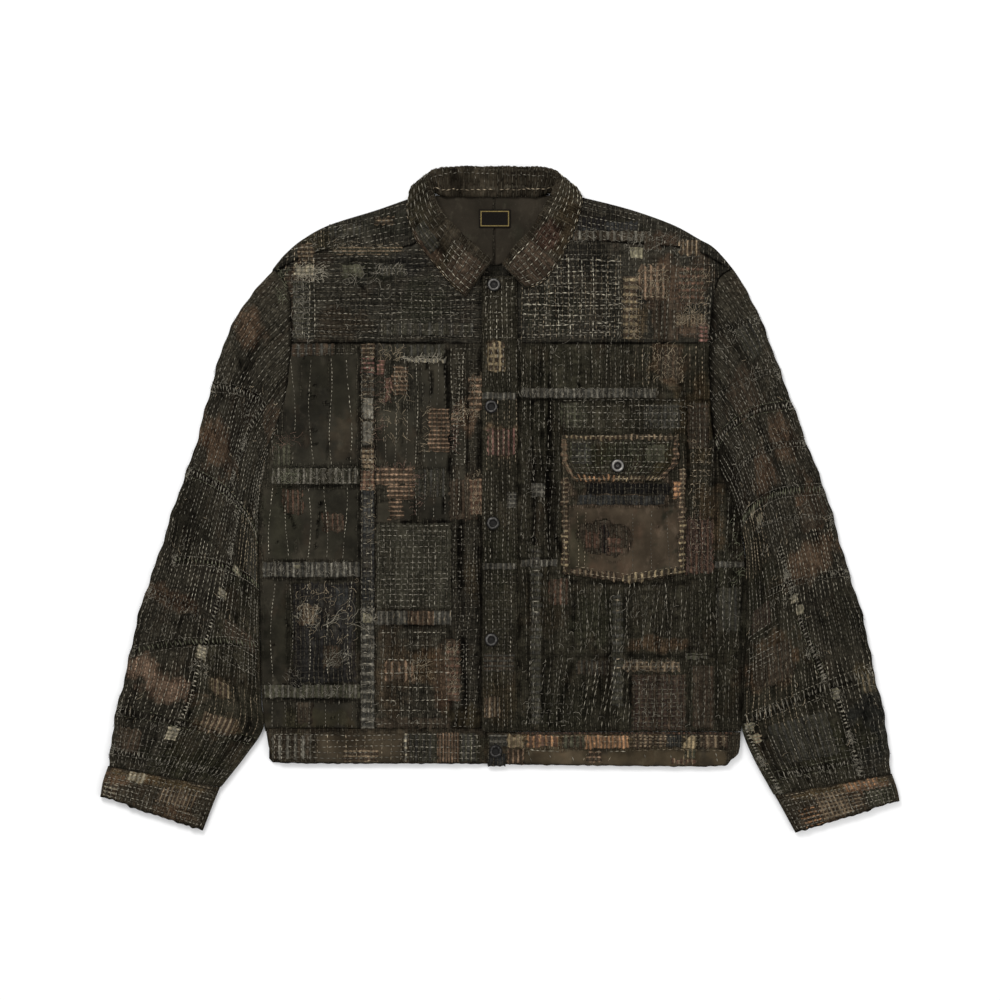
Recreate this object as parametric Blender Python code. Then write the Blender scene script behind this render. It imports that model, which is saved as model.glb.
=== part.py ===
"""A patched boro work jacket, buttoned and laid flat on its back with the sleeves down.

Sizes are in millimetres and are scaled to metres as each mesh is made. +X runs towards the
wearer's left sleeve, +Y towards the collar and +Z up from the surface the jacket lies on.
Each cut piece of cloth is a grid of points on its outer face, with a second grid one wall
thickness inside it. Neighbouring pieces stop SEAM_GAP apart.
"""
import math

import bmesh
import bpy

MM = 0.001
WALL = 2.0            # layered cotton of the body and sleeves
BAND_WALL = 2.4       # doubled cloth of waistband and cuffs
TRIM_WALL = 1.6       # placket, pocket, flap and collar
PATCH_WALL = 0.8      # one layer sewn on
SEAM_GAP = 0.3
LAY_GAP = 0.3         # between cloth and the cloth it lies on
TIP_GAP = 1.2         # sleeve to yoke at the shoulder tip, where the seam turns over the fold
ARMPIT_GAP = 0.6      # inner fold of a sleeve to the side of the body
FRONT_TOP = 7.0       # outer face of the fronts above the surface
EDGE_R = FRONT_TOP / 2
UNDERLAP_TOP = 4.4    # right front where the left front covers it
CUFF_TOP = 8.0
BAND_TOP = 7.8        # outer face of the waistband
BAND_LAP_TOP = 4.6    # right end of the waistband, under the left end
LINING_WALL = 1.0
LINING_TOP = WALL + LAY_GAP + LINING_WALL

# Outline of each side, wearer's right (at -X) and wearer's left (at +X): x, y.
ARMHOLE = {
    "right": [(-261, 266), (-250, 254), (-244, 241), (-240, 217), (-240, 181),
              (-244, 139), (-250, 110), (-259, 81), (-265, 62), (-274, 33)],
    "left": [(269, 267), (255, 258), (248, 242), (244, 217), (241, 181),
             (241, 139), (243, 110), (247, 76), (250, 62), (254, 33)],
}
YOKE_AT = 4           # armhole point where the front yoke ends
BACK_YOKE_AT = 3      # armhole point where the back yoke ends
SLEEVE_SEAM_AT = 8    # armhole point where the two sleeve pieces meet
SIDE = {
    "right": [(-275, 20), (-278, -22), (-277, -72), (-276, -128), (-274, -213), (-270, -262)],
    "left": [(260, 20), (274, -22), (283, -83), (283, -128), (281, -190), (277, -266)],
}
HEM_SEAM_Y = {"right": -262, "left": -266}
HEM = [(-260, -298), (-250, -302), (-30, -303), (40, -304), (240, -306), (262, -301)]

# Shoulder fold and forward shoulder seam, armhole to neck, and the side of the neckline.
SHOULDER = {
    "right": [(-228, 300), (-197, 317), (-143, 334), (-106, 347), (-86, 353)],
    "left": [(230, 300), (200, 317), (153, 334), (103, 347), (72, 353)],
}
SHOULDER_SEAM = {
    "right": [(-227, 280), (-197, 288), (-143, 288), (-101, 294), (-70, 313)],
    "left": [(229, 286), (200, 292), (153, 296), (103, 301), (57, 314)],
}
BACK_NECK = [(-72, 350), (-40, 348), (-8, 347), (24, 348), (58, 350)]

# Sleeves, shoulder to cuff: outer fold x, y; inner fold x, y; the share of the way from outer
# to inner fold at which the two pieces meet; how much the row bends with the armhole; top.
SLEEVE = {
    "right": [(-261, 266, -274, 33, 0.90, 1.0, 7.0),
              (-291, 224, -278, 1, 0.92, 0.6, 7.6),
              (-317, 175, -279, -34, 0.91, 0.3, 8.0),
              (-338, 110, -278, -74, 0.85, 0.1, 8.0),
              (-358, 41, -277, -114, 0.75, 0.0, 8.0),
              (-382, -28, -277, -155, 0.63, 0.0, 8.0),
              (-405, -97, -276, -197, 0.54, 0.0, 8.0),
              (-420, -149, -275, -232, 0.49, 0.0, 8.0),
              (-432, -201, -273, -262, 0.46, 0.0, 8.0),
              (-443, -252, -292, -292, 0.45, 0.0, 8.0),
              (-451, -305, -322, -329, 0.41, 0.0, 8.0)],
    "left": [(269, 267, 254, 33, 0.90, 1.0, 7.0),
             (289, 224, 266, 7, 0.92, 0.6, 7.6),
             (310, 175, 276, -25, 0.92, 0.3, 8.0),
             (337, 110, 284, -63, 0.82, 0.1, 8.0),
             (363, 41, 285, -105, 0.67, 0.0, 8.0),
             (386, -28, 285, -149, 0.55, 0.0, 8.0),
             (406, -97, 283, -193, 0.48, 0.0, 8.0),
             (421, -149, 282, -229, 0.40, 0.0, 8.0),
             (432, -201, 280, -262, 0.31, 0.0, 8.0),
             (443, -255, 292, -296, 0.29, 0.0, 8.0),
             (451, -314, 316, -338, 0.25, 0.0, 8.0)],
}
# Cuffs, sleeve end and open end: outer fold x, y; inner fold x, y.
CUFF = {
    "right": [(-451.1, -305.6, -322.1, -329.6), (-457, -323, -332, -354),
              (-460, -340, -342, -380)],
    "left": [(451.1, -314.6, 316.1, -338.6), (456.5, -330, 328, -360),
             (460, -345, 340, -382.4)],
}

# Pattern lines of the fronts. x: from the side seam to past the centre; y: from the yoke down.
RIGHT_X = [-225, -207, -184, -160, -144, -124, -101, -80, -73, -61, -55, -44, -33, -22, 12]
LEFT_X = [-21, 0, 21, 38, 46, 54, 71, 115, 152, 178, 213, 228]
RIGHT_Y = [181, 164, 139, 110, 81, 62, 33, 20, -22, -72, -87, -128, -142, -213, -226, -262]
LEFT_Y = [181, 139, 110, 76, 62, 33, 20, -22, -83, -128, -181, -201, -229, -266]

# Largest folds of the fronts: x, y at the top; x, y at the bottom; half width; height.
FOLDS = [
    (-73, 178, -73, 105, 9, 3.0),
    (-61, 178, -61, 110, 7, -1.6),
    (-55, 40, -55, -120, 9, 3.4),
    (-44, 40, -46, -120, 8, -1.6),
    (-52, -138, -46, -262, 9, 3.2),
    (-33, -150, -33, -262, 8, 2.6),
    (46, 178, 46, -112, 9, 2.8),
    (56, 178, 56, -112, 8, -1.6),
    (228, 178, 234, -150, 14, 3.0),
    (-225, 60, -222, -230, 16, 1.8),
    (-184, 175, -190, -60, 18, 1.2),
    (-125, 258, -108, 186, 30, 2.0),
    (110, 262, 88, 186, 30, 1.8),
]

# Collar, wearer's right end to left end: neck seam x, y, z; roll line x, y, z; leaf edge x, y, z.
COLLAR = [
    (-13, 270, 4.8, -8, 276, 11.5, -40, 233, 8.8),
    (-33, 283, 4.8, -28, 293, 12.5, -57, 249, 8.8),
    (-53, 299, 4.8, -47, 311, 13.5, -72, 266, 8.8),
    (-66, 314, 4.8, -58, 322, 14.5, -92, 292, 8.8),
    (-77, 331, 4.8, -70, 339, 16.0, -105, 316, 8.9),
    (-82, 344, 5.2, -77, 356, 18.0, -107, 340, 9.6),
    (-77, 353, 5.6, -82, 374, 19.0, -101, 363, 6.4),
    (-62, 349, 5.4, -66, 381, 19.0, -77, 364, 0.6),
    (-40, 349, 5.4, -40, 382.4, 19.0, -42, 358, 0.3),
    (-8, 349, 5.4, -9, 382.4, 19.0, -8, 357, 0.3),
    (24, 349, 5.4, 24, 382.4, 19.0, 25, 358, 0.3),
    (46, 349, 5.4, 52, 381, 19.0, 62, 364, 0.6),
    (60, 353, 5.6, 67, 374, 19.0, 86, 363, 6.4),
    (66, 345, 5.2, 60, 356, 18.0, 95, 345, 9.6),
    (62, 333, 4.8, 51, 340, 16.0, 91, 326, 8.9),
    (53, 317, 4.8, 43, 325, 14.5, 82, 302, 8.8),
    (41, 301, 4.8, 31, 307, 13.5, 68, 274, 8.8),
    (23, 286, 4.8, 14, 290, 13.0, 49, 250, 9.8),
    (8, 271, 4.8, 2, 272, 12.5, 28, 244, 11.2),
]
ROLL_R = 2.6

# Sewn-on cloth: name, the piece it lies on, first and last x line, first and last y line, colour.
PATCHES = [
    ("ladder_strip_right", "front_right", -160, -144, 164, -262, "tan"),
    ("bar_strip_upper_right", "front_right", -225, -160, 33, 20, "grey"),
    ("bar_strip_middle_right", "front_right", -225, -160, -72, -87, "grey"),
    ("bar_strip_lower_right", "front_right", -225, -160, -213, -226, "grey"),
    ("ribbed_patch_low", "front_right", -144, -101, 33, -22, "rust"),
    ("ribbed_patch_high", "front_right", -80, -55, 110, 62, "rust"),
    ("cross_stitched_panel", "front_right", -144, -61, -22, -128, "olive"),
    ("bar_strip_centre", "front_right", -144, -61, -128, -142, "grey"),
    ("checked_patch_left", "front_left", 152, 213, -201, -266, "wine"),
    ("brown_strip_left", "front_left", 152, 213, -181, -201, "brown"),
    ("panel_strip_left", "front_left", 213, 228, -22, -83, "rust"),
    ("pocket_strip_dark", "pocket", 103, 190, 20, 7, "slate"),
    ("pocket_strip_barred", "pocket", 103, 190, 7, -6, "grey"),
]

POCKET_DROP = 12      # the pocket's lower edge sags this much at its middle
BUTTON_R = 7.75
BUTTONS = [  # name, x, y, the piece it is fixed on
    ("button_neck", -7, 248, "placket"),
    ("button_chest", -10, 108, "placket"),
    ("button_middle", -8, -26, "placket"),
    ("button_low", -10, -160, "placket"),
    ("button_waistband", -5, -288, "waistband_left"),
    ("button_pocket", 135, 40, "pocket_flap"),
]

COLOURS = {
    "charcoal": (0.030, 0.027, 0.023), "olive": (0.038, 0.034, 0.024),
    "slate": (0.026, 0.028, 0.030), "brown": (0.060, 0.042, 0.028),
    "rust": (0.150, 0.075, 0.042), "tan": (0.120, 0.088, 0.050),
    "grey": (0.060, 0.055, 0.048), "wine": (0.070, 0.038, 0.032),
    "lining": (0.028, 0.023, 0.017), "label": (0.008, 0.007, 0.005),
    "metal": (0.090, 0.085, 0.080),
}


def clear_scene():
    for old in list(bpy.data.objects):
        bpy.data.objects.remove(old, do_unlink=True)


def new_collection():
    group = bpy.data.collections.new("patched_boro_jacket")
    bpy.context.scene.collection.children.link(group)
    return group


def material(name, colour, metallic=0.0, roughness=0.9):
    mat = bpy.data.materials.new(name)
    mat.use_nodes = True
    shader = mat.node_tree.nodes["Principled BSDF"]
    shader.inputs["Base Color"].default_value = (*COLOURS[colour], 1.0)
    shader.inputs["Roughness"].default_value = roughness
    shader.inputs["Metallic"].default_value = metallic
    return mat


def finish(name, bm, colour, **look):
    """Turn a bmesh into a named object in the jacket's collection."""
    bmesh.ops.recalc_face_normals(bm, faces=bm.faces)
    if bm.calc_volume(signed=True) < 0:
        bmesh.ops.reverse_faces(bm, faces=bm.faces)
    mesh = bpy.data.meshes.new(name)
    bm.to_mesh(mesh)
    bm.free()
    mesh.materials.append(material(name + "_cloth", colour, **look))
    made = bpy.data.objects.new(name, mesh)
    JACKET.objects.link(made)
    return made


def cloth(name, outer, inner, colour, keep=None):
    """A closed wall of cloth: a grid for its outer face and the same grid for its inner face.

    keep(row, column) says which squares of the grid are cloth.
    """
    rows = len(outer)
    columns = len(outer[0])
    bm = bmesh.new()
    bmesh.ops.create_grid(bm, x_segments=columns - 1, y_segments=rows - 1, size=1.0)

    def cell(point):
        return (round((point.y + 1) / 2 * (rows - 1)), round((point.x + 1) / 2 * (columns - 1)))

    if keep:
        cut = []
        for face in bm.faces:
            low = [min(cell(v.co)[axis] for v in face.verts) for axis in (0, 1)]
            if not keep(low[0], low[1]):
                cut.append(face)
        bmesh.ops.delete(bm, geom=cut, context="FACES")
    top = bmesh.ops.extrude_face_region(bm, geom=list(bm.faces), use_keep_orig=True)
    lifted = {v for v in top["geom"] if isinstance(v, bmesh.types.BMVert)}
    for vert in bm.verts:
        row, column = cell(vert.co)
        grid = inner if vert in lifted else outer
        vert.co = [value * MM for value in grid[row][column]]
    GRIDS[name] = outer
    return finish(name, bm, colour)


def unit(dx, dy):
    size = math.hypot(dx, dy)
    return dx / size, dy / size


def x_at(line, y):
    """Where a line of (x, y) points that falls in y crosses a level."""
    for (x0, y0), (x1, y1) in zip(line, line[1:]):
        if y <= y0 and y >= y1:
            return x0 + (x1 - x0) * (y0 - y) / (y0 - y1)
    return line[0][0] if y > line[0][1] else line[-1][0]


def y_at(line, x):
    """Where a line of (x, y) points that runs one way in x passes a given x."""
    points = sorted(line)
    for (x0, y0), (x1, y1) in zip(points, points[1:]):
        if x0 <= x <= x1:
            return y0 + (y1 - y0) * (x - x0) / (x1 - x0)
    return points[0][1] if x < points[0][0] else points[-1][1]


def fold_height(x, y):
    """Rise or fall of the fronts at a point, summed over the named folds."""
    total = 0.0
    for x0, y0, x1, y1, half, height in FOLDS:
        along = (y0 - y) / (y0 - y1)
        if 0 <= along <= 1:
            off = abs(x - (x0 + (x1 - x0) * along)) / half
            if off < 1:
                taper = min(1.0, 5 * along, 5 * (1 - along))
                total += height * taper * (0.5 + 0.5 * math.cos(math.pi * off))
    return total


def front_top(x, y):
    return FRONT_TOP + max(-1.8, fold_height(x, y))


def lowered(grid, depth):
    return [[(x, y, z - depth) for x, y, z in row] for row in grid]


def edge_arc(x, y, sign, radius, wall, upper):
    """Quarter turn at a side fold, from the seam at mid height in to the flat: outer, inner."""
    outer = []
    inner = []
    for angle in (0, 45, 90):
        reach = math.cos(math.radians(angle))
        rise = math.sin(math.radians(angle))
        for ring, size in ((outer, radius), (inner, radius - wall)):
            z = radius + size * rise if upper else radius - size * rise
            if angle == 0:
                z += SEAM_GAP / 2 if upper else -SEAM_GAP / 2
            ring.append((x + sign * (size * reach - radius), y, z))
    return outer, inner


def body_line(side):
    """The whole side edge of the body, shoulder to waistband."""
    return ARMHOLE[side] + SIDE[side]


def panel_row(side, y, lines, top, wall):
    """One row of a front, from the side seam to the centre: outer and inner points."""
    sign = -1 if side == "right" else 1
    edge = x_at(body_line(side), y)
    outer = []
    inner = []
    if y < ARMHOLE[side][-1][1]:
        outer, inner = edge_arc(edge, y, sign, EDGE_R, wall, True)
    else:
        flat = edge - sign * SEAM_GAP / 2
        for step in (0, 1.2, EDGE_R):
            outer.append((flat - sign * step, y, FRONT_TOP))
            inner.append((flat - sign * step, y, FRONT_TOP - wall))
    for x in lines:
        z = top(x, y)
        outer.append((x, y, z))
        inner.append((x, y, z - wall))
    return outer, inner


def right_top(x, y):
    """Outer face of the wearer's right front, which dips under the left front."""
    edge = LEFT_X[0] - 1
    if x >= edge:
        return UNDERLAP_TOP
    return front_top(x, y)


def make_fronts():
    for side, lines, levels, top in (
        ("right", RIGHT_X, RIGHT_Y, right_top),
        ("left", LEFT_X[::-1], LEFT_Y, front_top),
    ):
        outer = []
        inner = []
        for index, y in enumerate(levels):
            shift = -SEAM_GAP / 2 if index == 0 else 0
            row = panel_row(side, y + shift, lines, top, WALL)
            outer.append(row[0])
            inner.append(row[1])
        cloth("front_" + side, outer, inner, "charcoal" if side == "right" else "olive")


def yoke_top_line(side):
    """Top edge of a front yoke: shoulder seam, then the neckline down to the centre."""
    seam = [ARMHOLE[side][0]] + SHOULDER_SEAM[side]
    if side == "right":
        neck = [(x - 1.0, y - 1.5) for x, y, *_ in COLLAR[3::-1]]
        return seam[:-1] + neck + [(14, 262)]
    neck = [(x + 1.0, y - 1.5) for x, y, *_ in COLLAR[15:19]]
    return seam[:-1] + neck + [(-24, 262)]


def shoulder_tip(side):
    """Middle of the fold where the armhole crosses the shoulder, and the way out of the cloth."""
    first, second = ARMHOLE[side][:2]
    normal = unit(first[0] - second[0], first[1] - second[1])
    return (first[0] - normal[0] * EDGE_R, first[1] - normal[1] * EDGE_R), normal


def make_front_yokes():
    share = [0.0, 0.2, 0.4, 0.7, 1.0]
    for side, lines in (("right", [-227, -197, -160, -143, -120, -101, -67, -53, -33, -22, 12]),
                        ("left", [229, 200, 175, 153, 128, 103, 55, 41, 23, 8, -21])):
        sign = -1 if side == "right" else 1
        bottom = ARMHOLE[side][YOKE_AT][1] + SEAM_GAP / 2
        tip, _ = shoulder_tip(side)
        top_line = [(tip[0] - sign * SEAM_GAP, tip[1] - 0.9)] + yoke_top_line(side)[1:]
        outer = []
        for index, part in enumerate(share):
            edge_x, edge_y = ARMHOLE[side][index]
            if index == 0:
                edge_x, edge_y = tip[0], tip[1] - 0.9
            row = [(edge_x - sign * SEAM_GAP, max(bottom, edge_y), FRONT_TOP)]
            for x in lines:
                high = y_at(top_line, x) - 0.9
                y = high + (bottom - high) * part
                z = UNDERLAP_TOP if side == "right" and x > LEFT_X[0] - 1.5 else front_top(x, y)
                row.append((x, y, z))
            outer.append(row)
        cloth("front_yoke_" + side, outer, lowered(outer, WALL), "slate")


def yoke_stations(side):
    """Along one shoulder, armhole to neck: fold middle, way out, forward seam point."""
    sign = -1 if side == "right" else 1
    tip, normal = shoulder_tip(side)
    tip = (tip[0] - sign * SEAM_GAP, tip[1] + 0.2)
    stations = [(tip, normal, (tip[0], tip[1] - 0.6))]
    for fold, seam in zip(SHOULDER[side], SHOULDER_SEAM[side]):
        stations.append(((fold[0], fold[1] - EDGE_R), (0.0, 1.0), seam))
    return stations


def make_back_yoke():
    """Over the shoulders from the forward seam, down the back to the yoke seam."""
    right = yoke_stations("right")
    left = yoke_stations("left")[::-1]
    columns = right + [((x, y), None, (x, y)) for x, y in BACK_NECK] + left
    last = len(columns) - 1
    depth = [0.0, 0.3, 0.6, 1.0]
    bottom = ARMHOLE["right"][BACK_YOKE_AT][1] + SEAM_GAP / 2
    outer = []
    inner = []
    for row in range(10):
        line = []
        within = []
        for index, (fold, normal, seam) in enumerate(columns):
            if row < 2:
                x = seam[0] + (fold[0] - seam[0]) * row / 2
                y = seam[1] + (fold[1] - seam[1]) * row / 2
                line.append((x, y, FRONT_TOP))
                within.append((x, y, FRONT_TOP - WALL))
            elif row <= 6 and normal:
                angle = math.radians((row - 2) * 45)
                for ring, size in ((line, EDGE_R), (within, EDGE_R - WALL)):
                    reach = size * math.sin(angle)
                    ring.append((fold[0] + normal[0] * reach, fold[1] + normal[1] * reach,
                                 EDGE_R + size * math.cos(angle)))
            else:
                part = depth[max(0, row - 6)]
                x, y = fold[0], fold[1] + (bottom - fold[1]) * part
                if index in (0, last) and row > 6:
                    side, sign = ("right", -1) if index == 0 else ("left", 1)
                    x, y = ARMHOLE[side][row - 6]
                    x, y = x - sign * SEAM_GAP, max(y, bottom)
                line.append((x, y, 0.0))
                within.append((x, y, WALL))
        outer.append(line)
        inner.append(within)
    first_gap = len(right) - 1
    last_gap = len(right) + len(BACK_NECK) - 1

    def keep(row, column):
        return row >= 6 or not first_gap <= column <= last_gap

    cloth("back_yoke", outer, inner, "slate", keep)


def make_back():
    """The flat panel that the jacket rests on, turned up into the side seams."""
    rights = body_line("right")
    start = BACK_YOKE_AT
    outer = []
    inner = []
    levels = [y for _, y in rights[start:]]
    levels[-1] = HEM_SEAM_Y["left"]
    for index, y in enumerate(levels):
        level = y - SEAM_GAP / 2 if index == 0 else y
        row_out = []
        row_in = []
        for side in ("right", "left"):
            sign = -1 if side == "right" else 1
            edge = x_at(body_line(side), level)
            if level < ARMHOLE[side][-1][1]:
                out, within = edge_arc(edge, level, sign, EDGE_R, WALL, False)
            else:
                flat = edge - sign * SEAM_GAP
                out = [(flat - sign * step, level, 0.0) for step in (0, 1.2, EDGE_R)]
                within = [(x, y0, WALL) for x, y0, _ in out]
            if side == "left":
                out.reverse()
                within.reverse()
                for x in (-150, 0, 150):
                    row_out.append((x, level, 0.0))
                    row_in.append((x, level, WALL))
            row_out += out
            row_in += within
        outer.append(row_out)
        inner.append(row_in)
    cloth("back", outer, inner, "charcoal")


def make_neck_lining():
    xs = [-88, -60, -30, -6, 20, 48, 74]
    low = [306, 300, 286, 271, 284, 298, 306]
    rows = []
    for part in (0.0, 0.4, 0.75, 1.0):
        row = []
        for x, bottom in zip(xs, low):
            top = 348.0 if -70 < x < 58 else 336.0
            row.append((x, top + (bottom - top) * part, LINING_TOP))
        rows.append(row)
    cloth("neck_lining", rows, lowered(rows, LINING_WALL), "lining")


def make_label():
    z = LINING_TOP + LAY_GAP + PATCH_WALL
    rows = [[(x, y, z) for x in (-24, -6, 12)] for y in (335, 314)]
    cloth("neck_label", rows, lowered(rows, PATCH_WALL), "label")


def fold_normals(points, outward):
    """Unit directions that point out of the cloth along one fold of a sleeve."""
    result = []
    for index in range(len(points)):
        before = points[max(0, index - 1)]
        after = points[min(len(points) - 1, index + 1)]
        dx, dy = unit(after[0] - before[0], after[1] - before[1])
        nx, ny = -dy, dx
        if (nx > 0) != (outward > 0):
            nx, ny = -nx, -ny
        result.append((nx, ny))
    return result


def half_turn(centre, normal, radius, wall):
    """Points round a fold, top to bottom: outer and inner."""
    outer = []
    inner = []
    for angle in (45, 90, 135):
        reach = math.sin(math.radians(angle))
        rise = math.cos(math.radians(angle))
        for ring, size in ((outer, radius), (inner, radius - wall)):
            x = centre[0] + normal[0] * size * reach
            y = centre[1] + normal[1] * size * reach
            ring.append((x, y, radius + size * rise))
    return outer, inner


def sleeve_rows(side):
    """Centre lines and folds of each row: (outer centre, inner centre, normals, table row)."""
    sign = -1 if side == "right" else 1
    table = SLEEVE[side]
    outer_normals = fold_normals([(r[0], r[1]) for r in table], sign)
    inner_normals = fold_normals([(r[2], r[3]) for r in table], -sign)
    first = ARMHOLE[side]
    outer_normals[0] = unit(first[0][0] - first[1][0], first[0][1] - first[1][1])
    rows = []
    for row, out_n, in_n in zip(table, outer_normals, inner_normals):
        radius = row[6] / 2
        outer_c = (row[0] - out_n[0] * radius, row[1] - out_n[1] * radius)
        inset = radius + ARMPIT_GAP
        inner_c = (row[2] - in_n[0] * inset, row[3] - in_n[1] * inset)
        rows.append((outer_c, inner_c, out_n, in_n, row))
    return rows


def armhole_shares(side):
    """Each armhole point's share of the length of the armhole."""
    points = ARMHOLE[side]
    lengths = [0.0]
    for a, b in zip(points, points[1:]):
        lengths.append(lengths[-1] + math.hypot(b[0] - a[0], b[1] - a[1]))
    return [value / lengths[-1] for value in lengths]


def sleeve_point(side, row_index, rows, share, number):
    """Plan position of a sleeve point; the first row follows the armhole's own points."""
    outer_c, inner_c, _, _, row = rows[row_index]
    sign = -1 if side == "right" else 1
    if row_index == 0:
        points = ARMHOLE[side]
        x, y = points[number]
        if number == 0:
            _, normal = shoulder_tip(side)
            return (outer_c[0] + sign * TIP_GAP * abs(normal[1]),
                    outer_c[1] - TIP_GAP * abs(normal[0]))
        return (x + sign * (SEAM_GAP + 0.1), y)
    x = outer_c[0] + (inner_c[0] - outer_c[0]) * share
    y = outer_c[1] + (inner_c[1] - outer_c[1]) * share
    first = ARMHOLE[side]
    chord_x = first[0][0] + (first[-1][0] - first[0][0]) * share
    chord_y = first[0][1] + (first[-1][1] - first[0][1]) * share
    bend = row[5]
    arm_x, arm_y = first[number]
    return (x + bend * (arm_x - chord_x) * 0.9, y + bend * (arm_y - chord_y) * 0.5)


def make_sleeves():
    for side in ("right", "left"):
        rows = sleeve_rows(side)
        shares = armhole_shares(side)
        split = shares[SLEEVE_SEAM_AT]
        top_out, top_in, under_out, under_in = [], [], [], []
        for index, (outer_c, inner_c, out_n, in_n, row) in enumerate(rows):
            radius = row[6] / 2
            seam = row[4]
            flat = []
            for number in range(SLEEVE_SEAM_AT, -1, -1):
                share = shares[number] / split * seam
                flat.append(sleeve_point(side, index, rows, share, number))
            dx, dy = unit(flat[0][0] - flat[1][0], flat[0][1] - flat[1][1])
            pulled = (flat[0][0] - dx * SEAM_GAP, flat[0][1] - dy * SEAM_GAP)
            turn_out, turn_in = half_turn(flat[-1], out_n, radius, WALL)
            plan = [pulled] + flat[1:]
            top_out.append([(x, y, 2 * radius) for x, y in plan] + turn_out
                           + [(x, y, 0.0) for x, y in plan[::-1]])
            top_in.append([(x, y, 2 * radius - WALL) for x, y in plan] + turn_in
                          + [(x, y, WALL) for x, y in plan[::-1]])
            inner_end = inner_c
            if index == 0:
                inner_end = (inner_c[0], inner_c[1] + 1.5)
            middle = ((flat[0][0] + inner_end[0]) / 2, (flat[0][1] + inner_end[1]) / 2)
            plan = [flat[0], middle, inner_end]
            turn_out, turn_in = half_turn(inner_end, in_n, radius, WALL)
            under_out.append([(x, y, 2 * radius) for x, y in plan] + turn_out
                             + [(x, y, 0.0) for x, y in plan[::-1]])
            under_in.append([(x, y, 2 * radius - WALL) for x, y in plan] + turn_in
                            + [(x, y, WALL) for x, y in plan[::-1]])
        cloth("sleeve_top_" + side, top_out, top_in, "charcoal")
        cloth("sleeve_under_" + side, under_out, under_in, "olive")


def make_cuffs():
    """A doubled band round each sleeve end; its ends meet underneath."""
    radius = CUFF_TOP / 2
    for side in ("right", "left"):
        sign = -1 if side == "right" else 1
        table = CUFF[side]
        out_normals = fold_normals([(r[0], r[1]) for r in table], sign)
        in_normals = fold_normals([(r[2], r[3]) for r in table], -sign)
        outer, inner = [], []
        for row, out_n, in_n in zip(table, out_normals, in_normals):
            a = (row[0] - out_n[0] * radius, row[1] - out_n[1] * radius)
            b = (row[2] - in_n[0] * radius, row[3] - in_n[1] * radius)
            steps = [(a[0] + (b[0] - a[0]) * s, a[1] + (b[1] - a[1]) * s)
                     for s in (0.0, 0.25, 0.5, 0.75, 1.0)]
            far_out, far_in = half_turn(a, out_n, radius, BAND_WALL)
            near_out, near_in = half_turn(b, in_n, radius, BAND_WALL)
            under = [(a[0] + (b[0] - a[0]) * s, a[1] + (b[1] - a[1]) * s)
                     for s in (0.8, 0.4, 0.0)]
            high, low = 2 * radius, 2 * radius - BAND_WALL
            seam_share = 0.8 + SEAM_GAP / 130
            seam = (a[0] + (b[0] - a[0]) * seam_share, a[1] + (b[1] - a[1]) * seam_share)
            outer.append([(x, y, 0.0) for x, y in under] + far_out[::-1]
                         + [(x, y, high) for x, y in steps] + near_out
                         + [(*b, 0.0), (*seam, 0.0)])
            inner.append([(x, y, BAND_WALL) for x, y in under] + far_in[::-1]
                         + [(x, y, low) for x, y in steps] + near_in
                         + [(*b, BAND_WALL), (*seam, BAND_WALL)])
        cloth("cuff_" + side, outer, inner, "brown")


def make_waistband():
    """The band in three stretches: back, right front and left front, which laps over it."""
    top_y = -266 - SEAM_GAP
    ends = {"right": ((-269.5, top_y + 4), (-266, -283), (-260, -297)),
            "left": ((277, top_y), (276, -283), (274, -292))}
    lines = {"right": [-250, -205, -160, -115, -75, -46, -36, -25, 12],
             "left": [252, 213, 178, 135, 95, 50, 21, 2, -15]}
    for side in ("right", "left"):
        sign = -1 if side == "right" else 1
        outer, inner = [], []
        for level in range(3):
            edge_x, edge_y = ends[side][level]
            out, within = edge_arc(edge_x, edge_y, sign, BAND_TOP / 2, BAND_WALL, True)
            for x in lines[side]:
                hem = y_at(HEM, x)
                seam_y = top_y + (4 if side == "right" else 0)
                y = seam_y + (hem - seam_y) * level / 2
                lapped = side == "right" and x > -26
                out.append((x, y, BAND_LAP_TOP if lapped else BAND_TOP))
                low = BAND_WALL + LAY_GAP if lapped else BAND_TOP - BAND_WALL
                within.append((x, y, low))
            outer.append(out)
            inner.append(within)
        cloth("waistband_" + side, outer, inner, "brown")
    outer, inner = [], []
    for level in range(3):
        row_out, row_in = [], []
        for side in ("right", "left"):
            sign = -1 if side == "right" else 1
            edge_x, edge_y = ends[side][level]
            out, within = edge_arc(edge_x, edge_y, sign, BAND_TOP / 2, BAND_WALL, False)
            if side == "left":
                out.reverse()
                within.reverse()
                for x in (-150, 0, 150):
                    hem = y_at(HEM, x)
                    y = top_y + (hem - top_y) * level / 2
                    row_out.append((x, y, 0.0))
                    row_in.append((x, y, BAND_WALL))
            row_out += [(x, min(y, top_y), z) for x, y, z in out]
            row_in += [(x, min(y, top_y), z) for x, y, z in within]
        outer.append(row_out)
        inner.append(row_in)
    cloth("waistband_back", outer, inner, "brown")


def make_placket():
    """The buttonhole band on the left front's edge."""
    rows = []
    levels = [258, 217] + LEFT_Y
    for y in levels:
        row = []
        for x in (-21, 0, 20):
            z = front_top(x, y) + LAY_GAP + TRIM_WALL
            row.append((x, y, z))
        rows.append(row)
    cloth("placket", rows, lowered(rows, TRIM_WALL), "olive")


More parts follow.
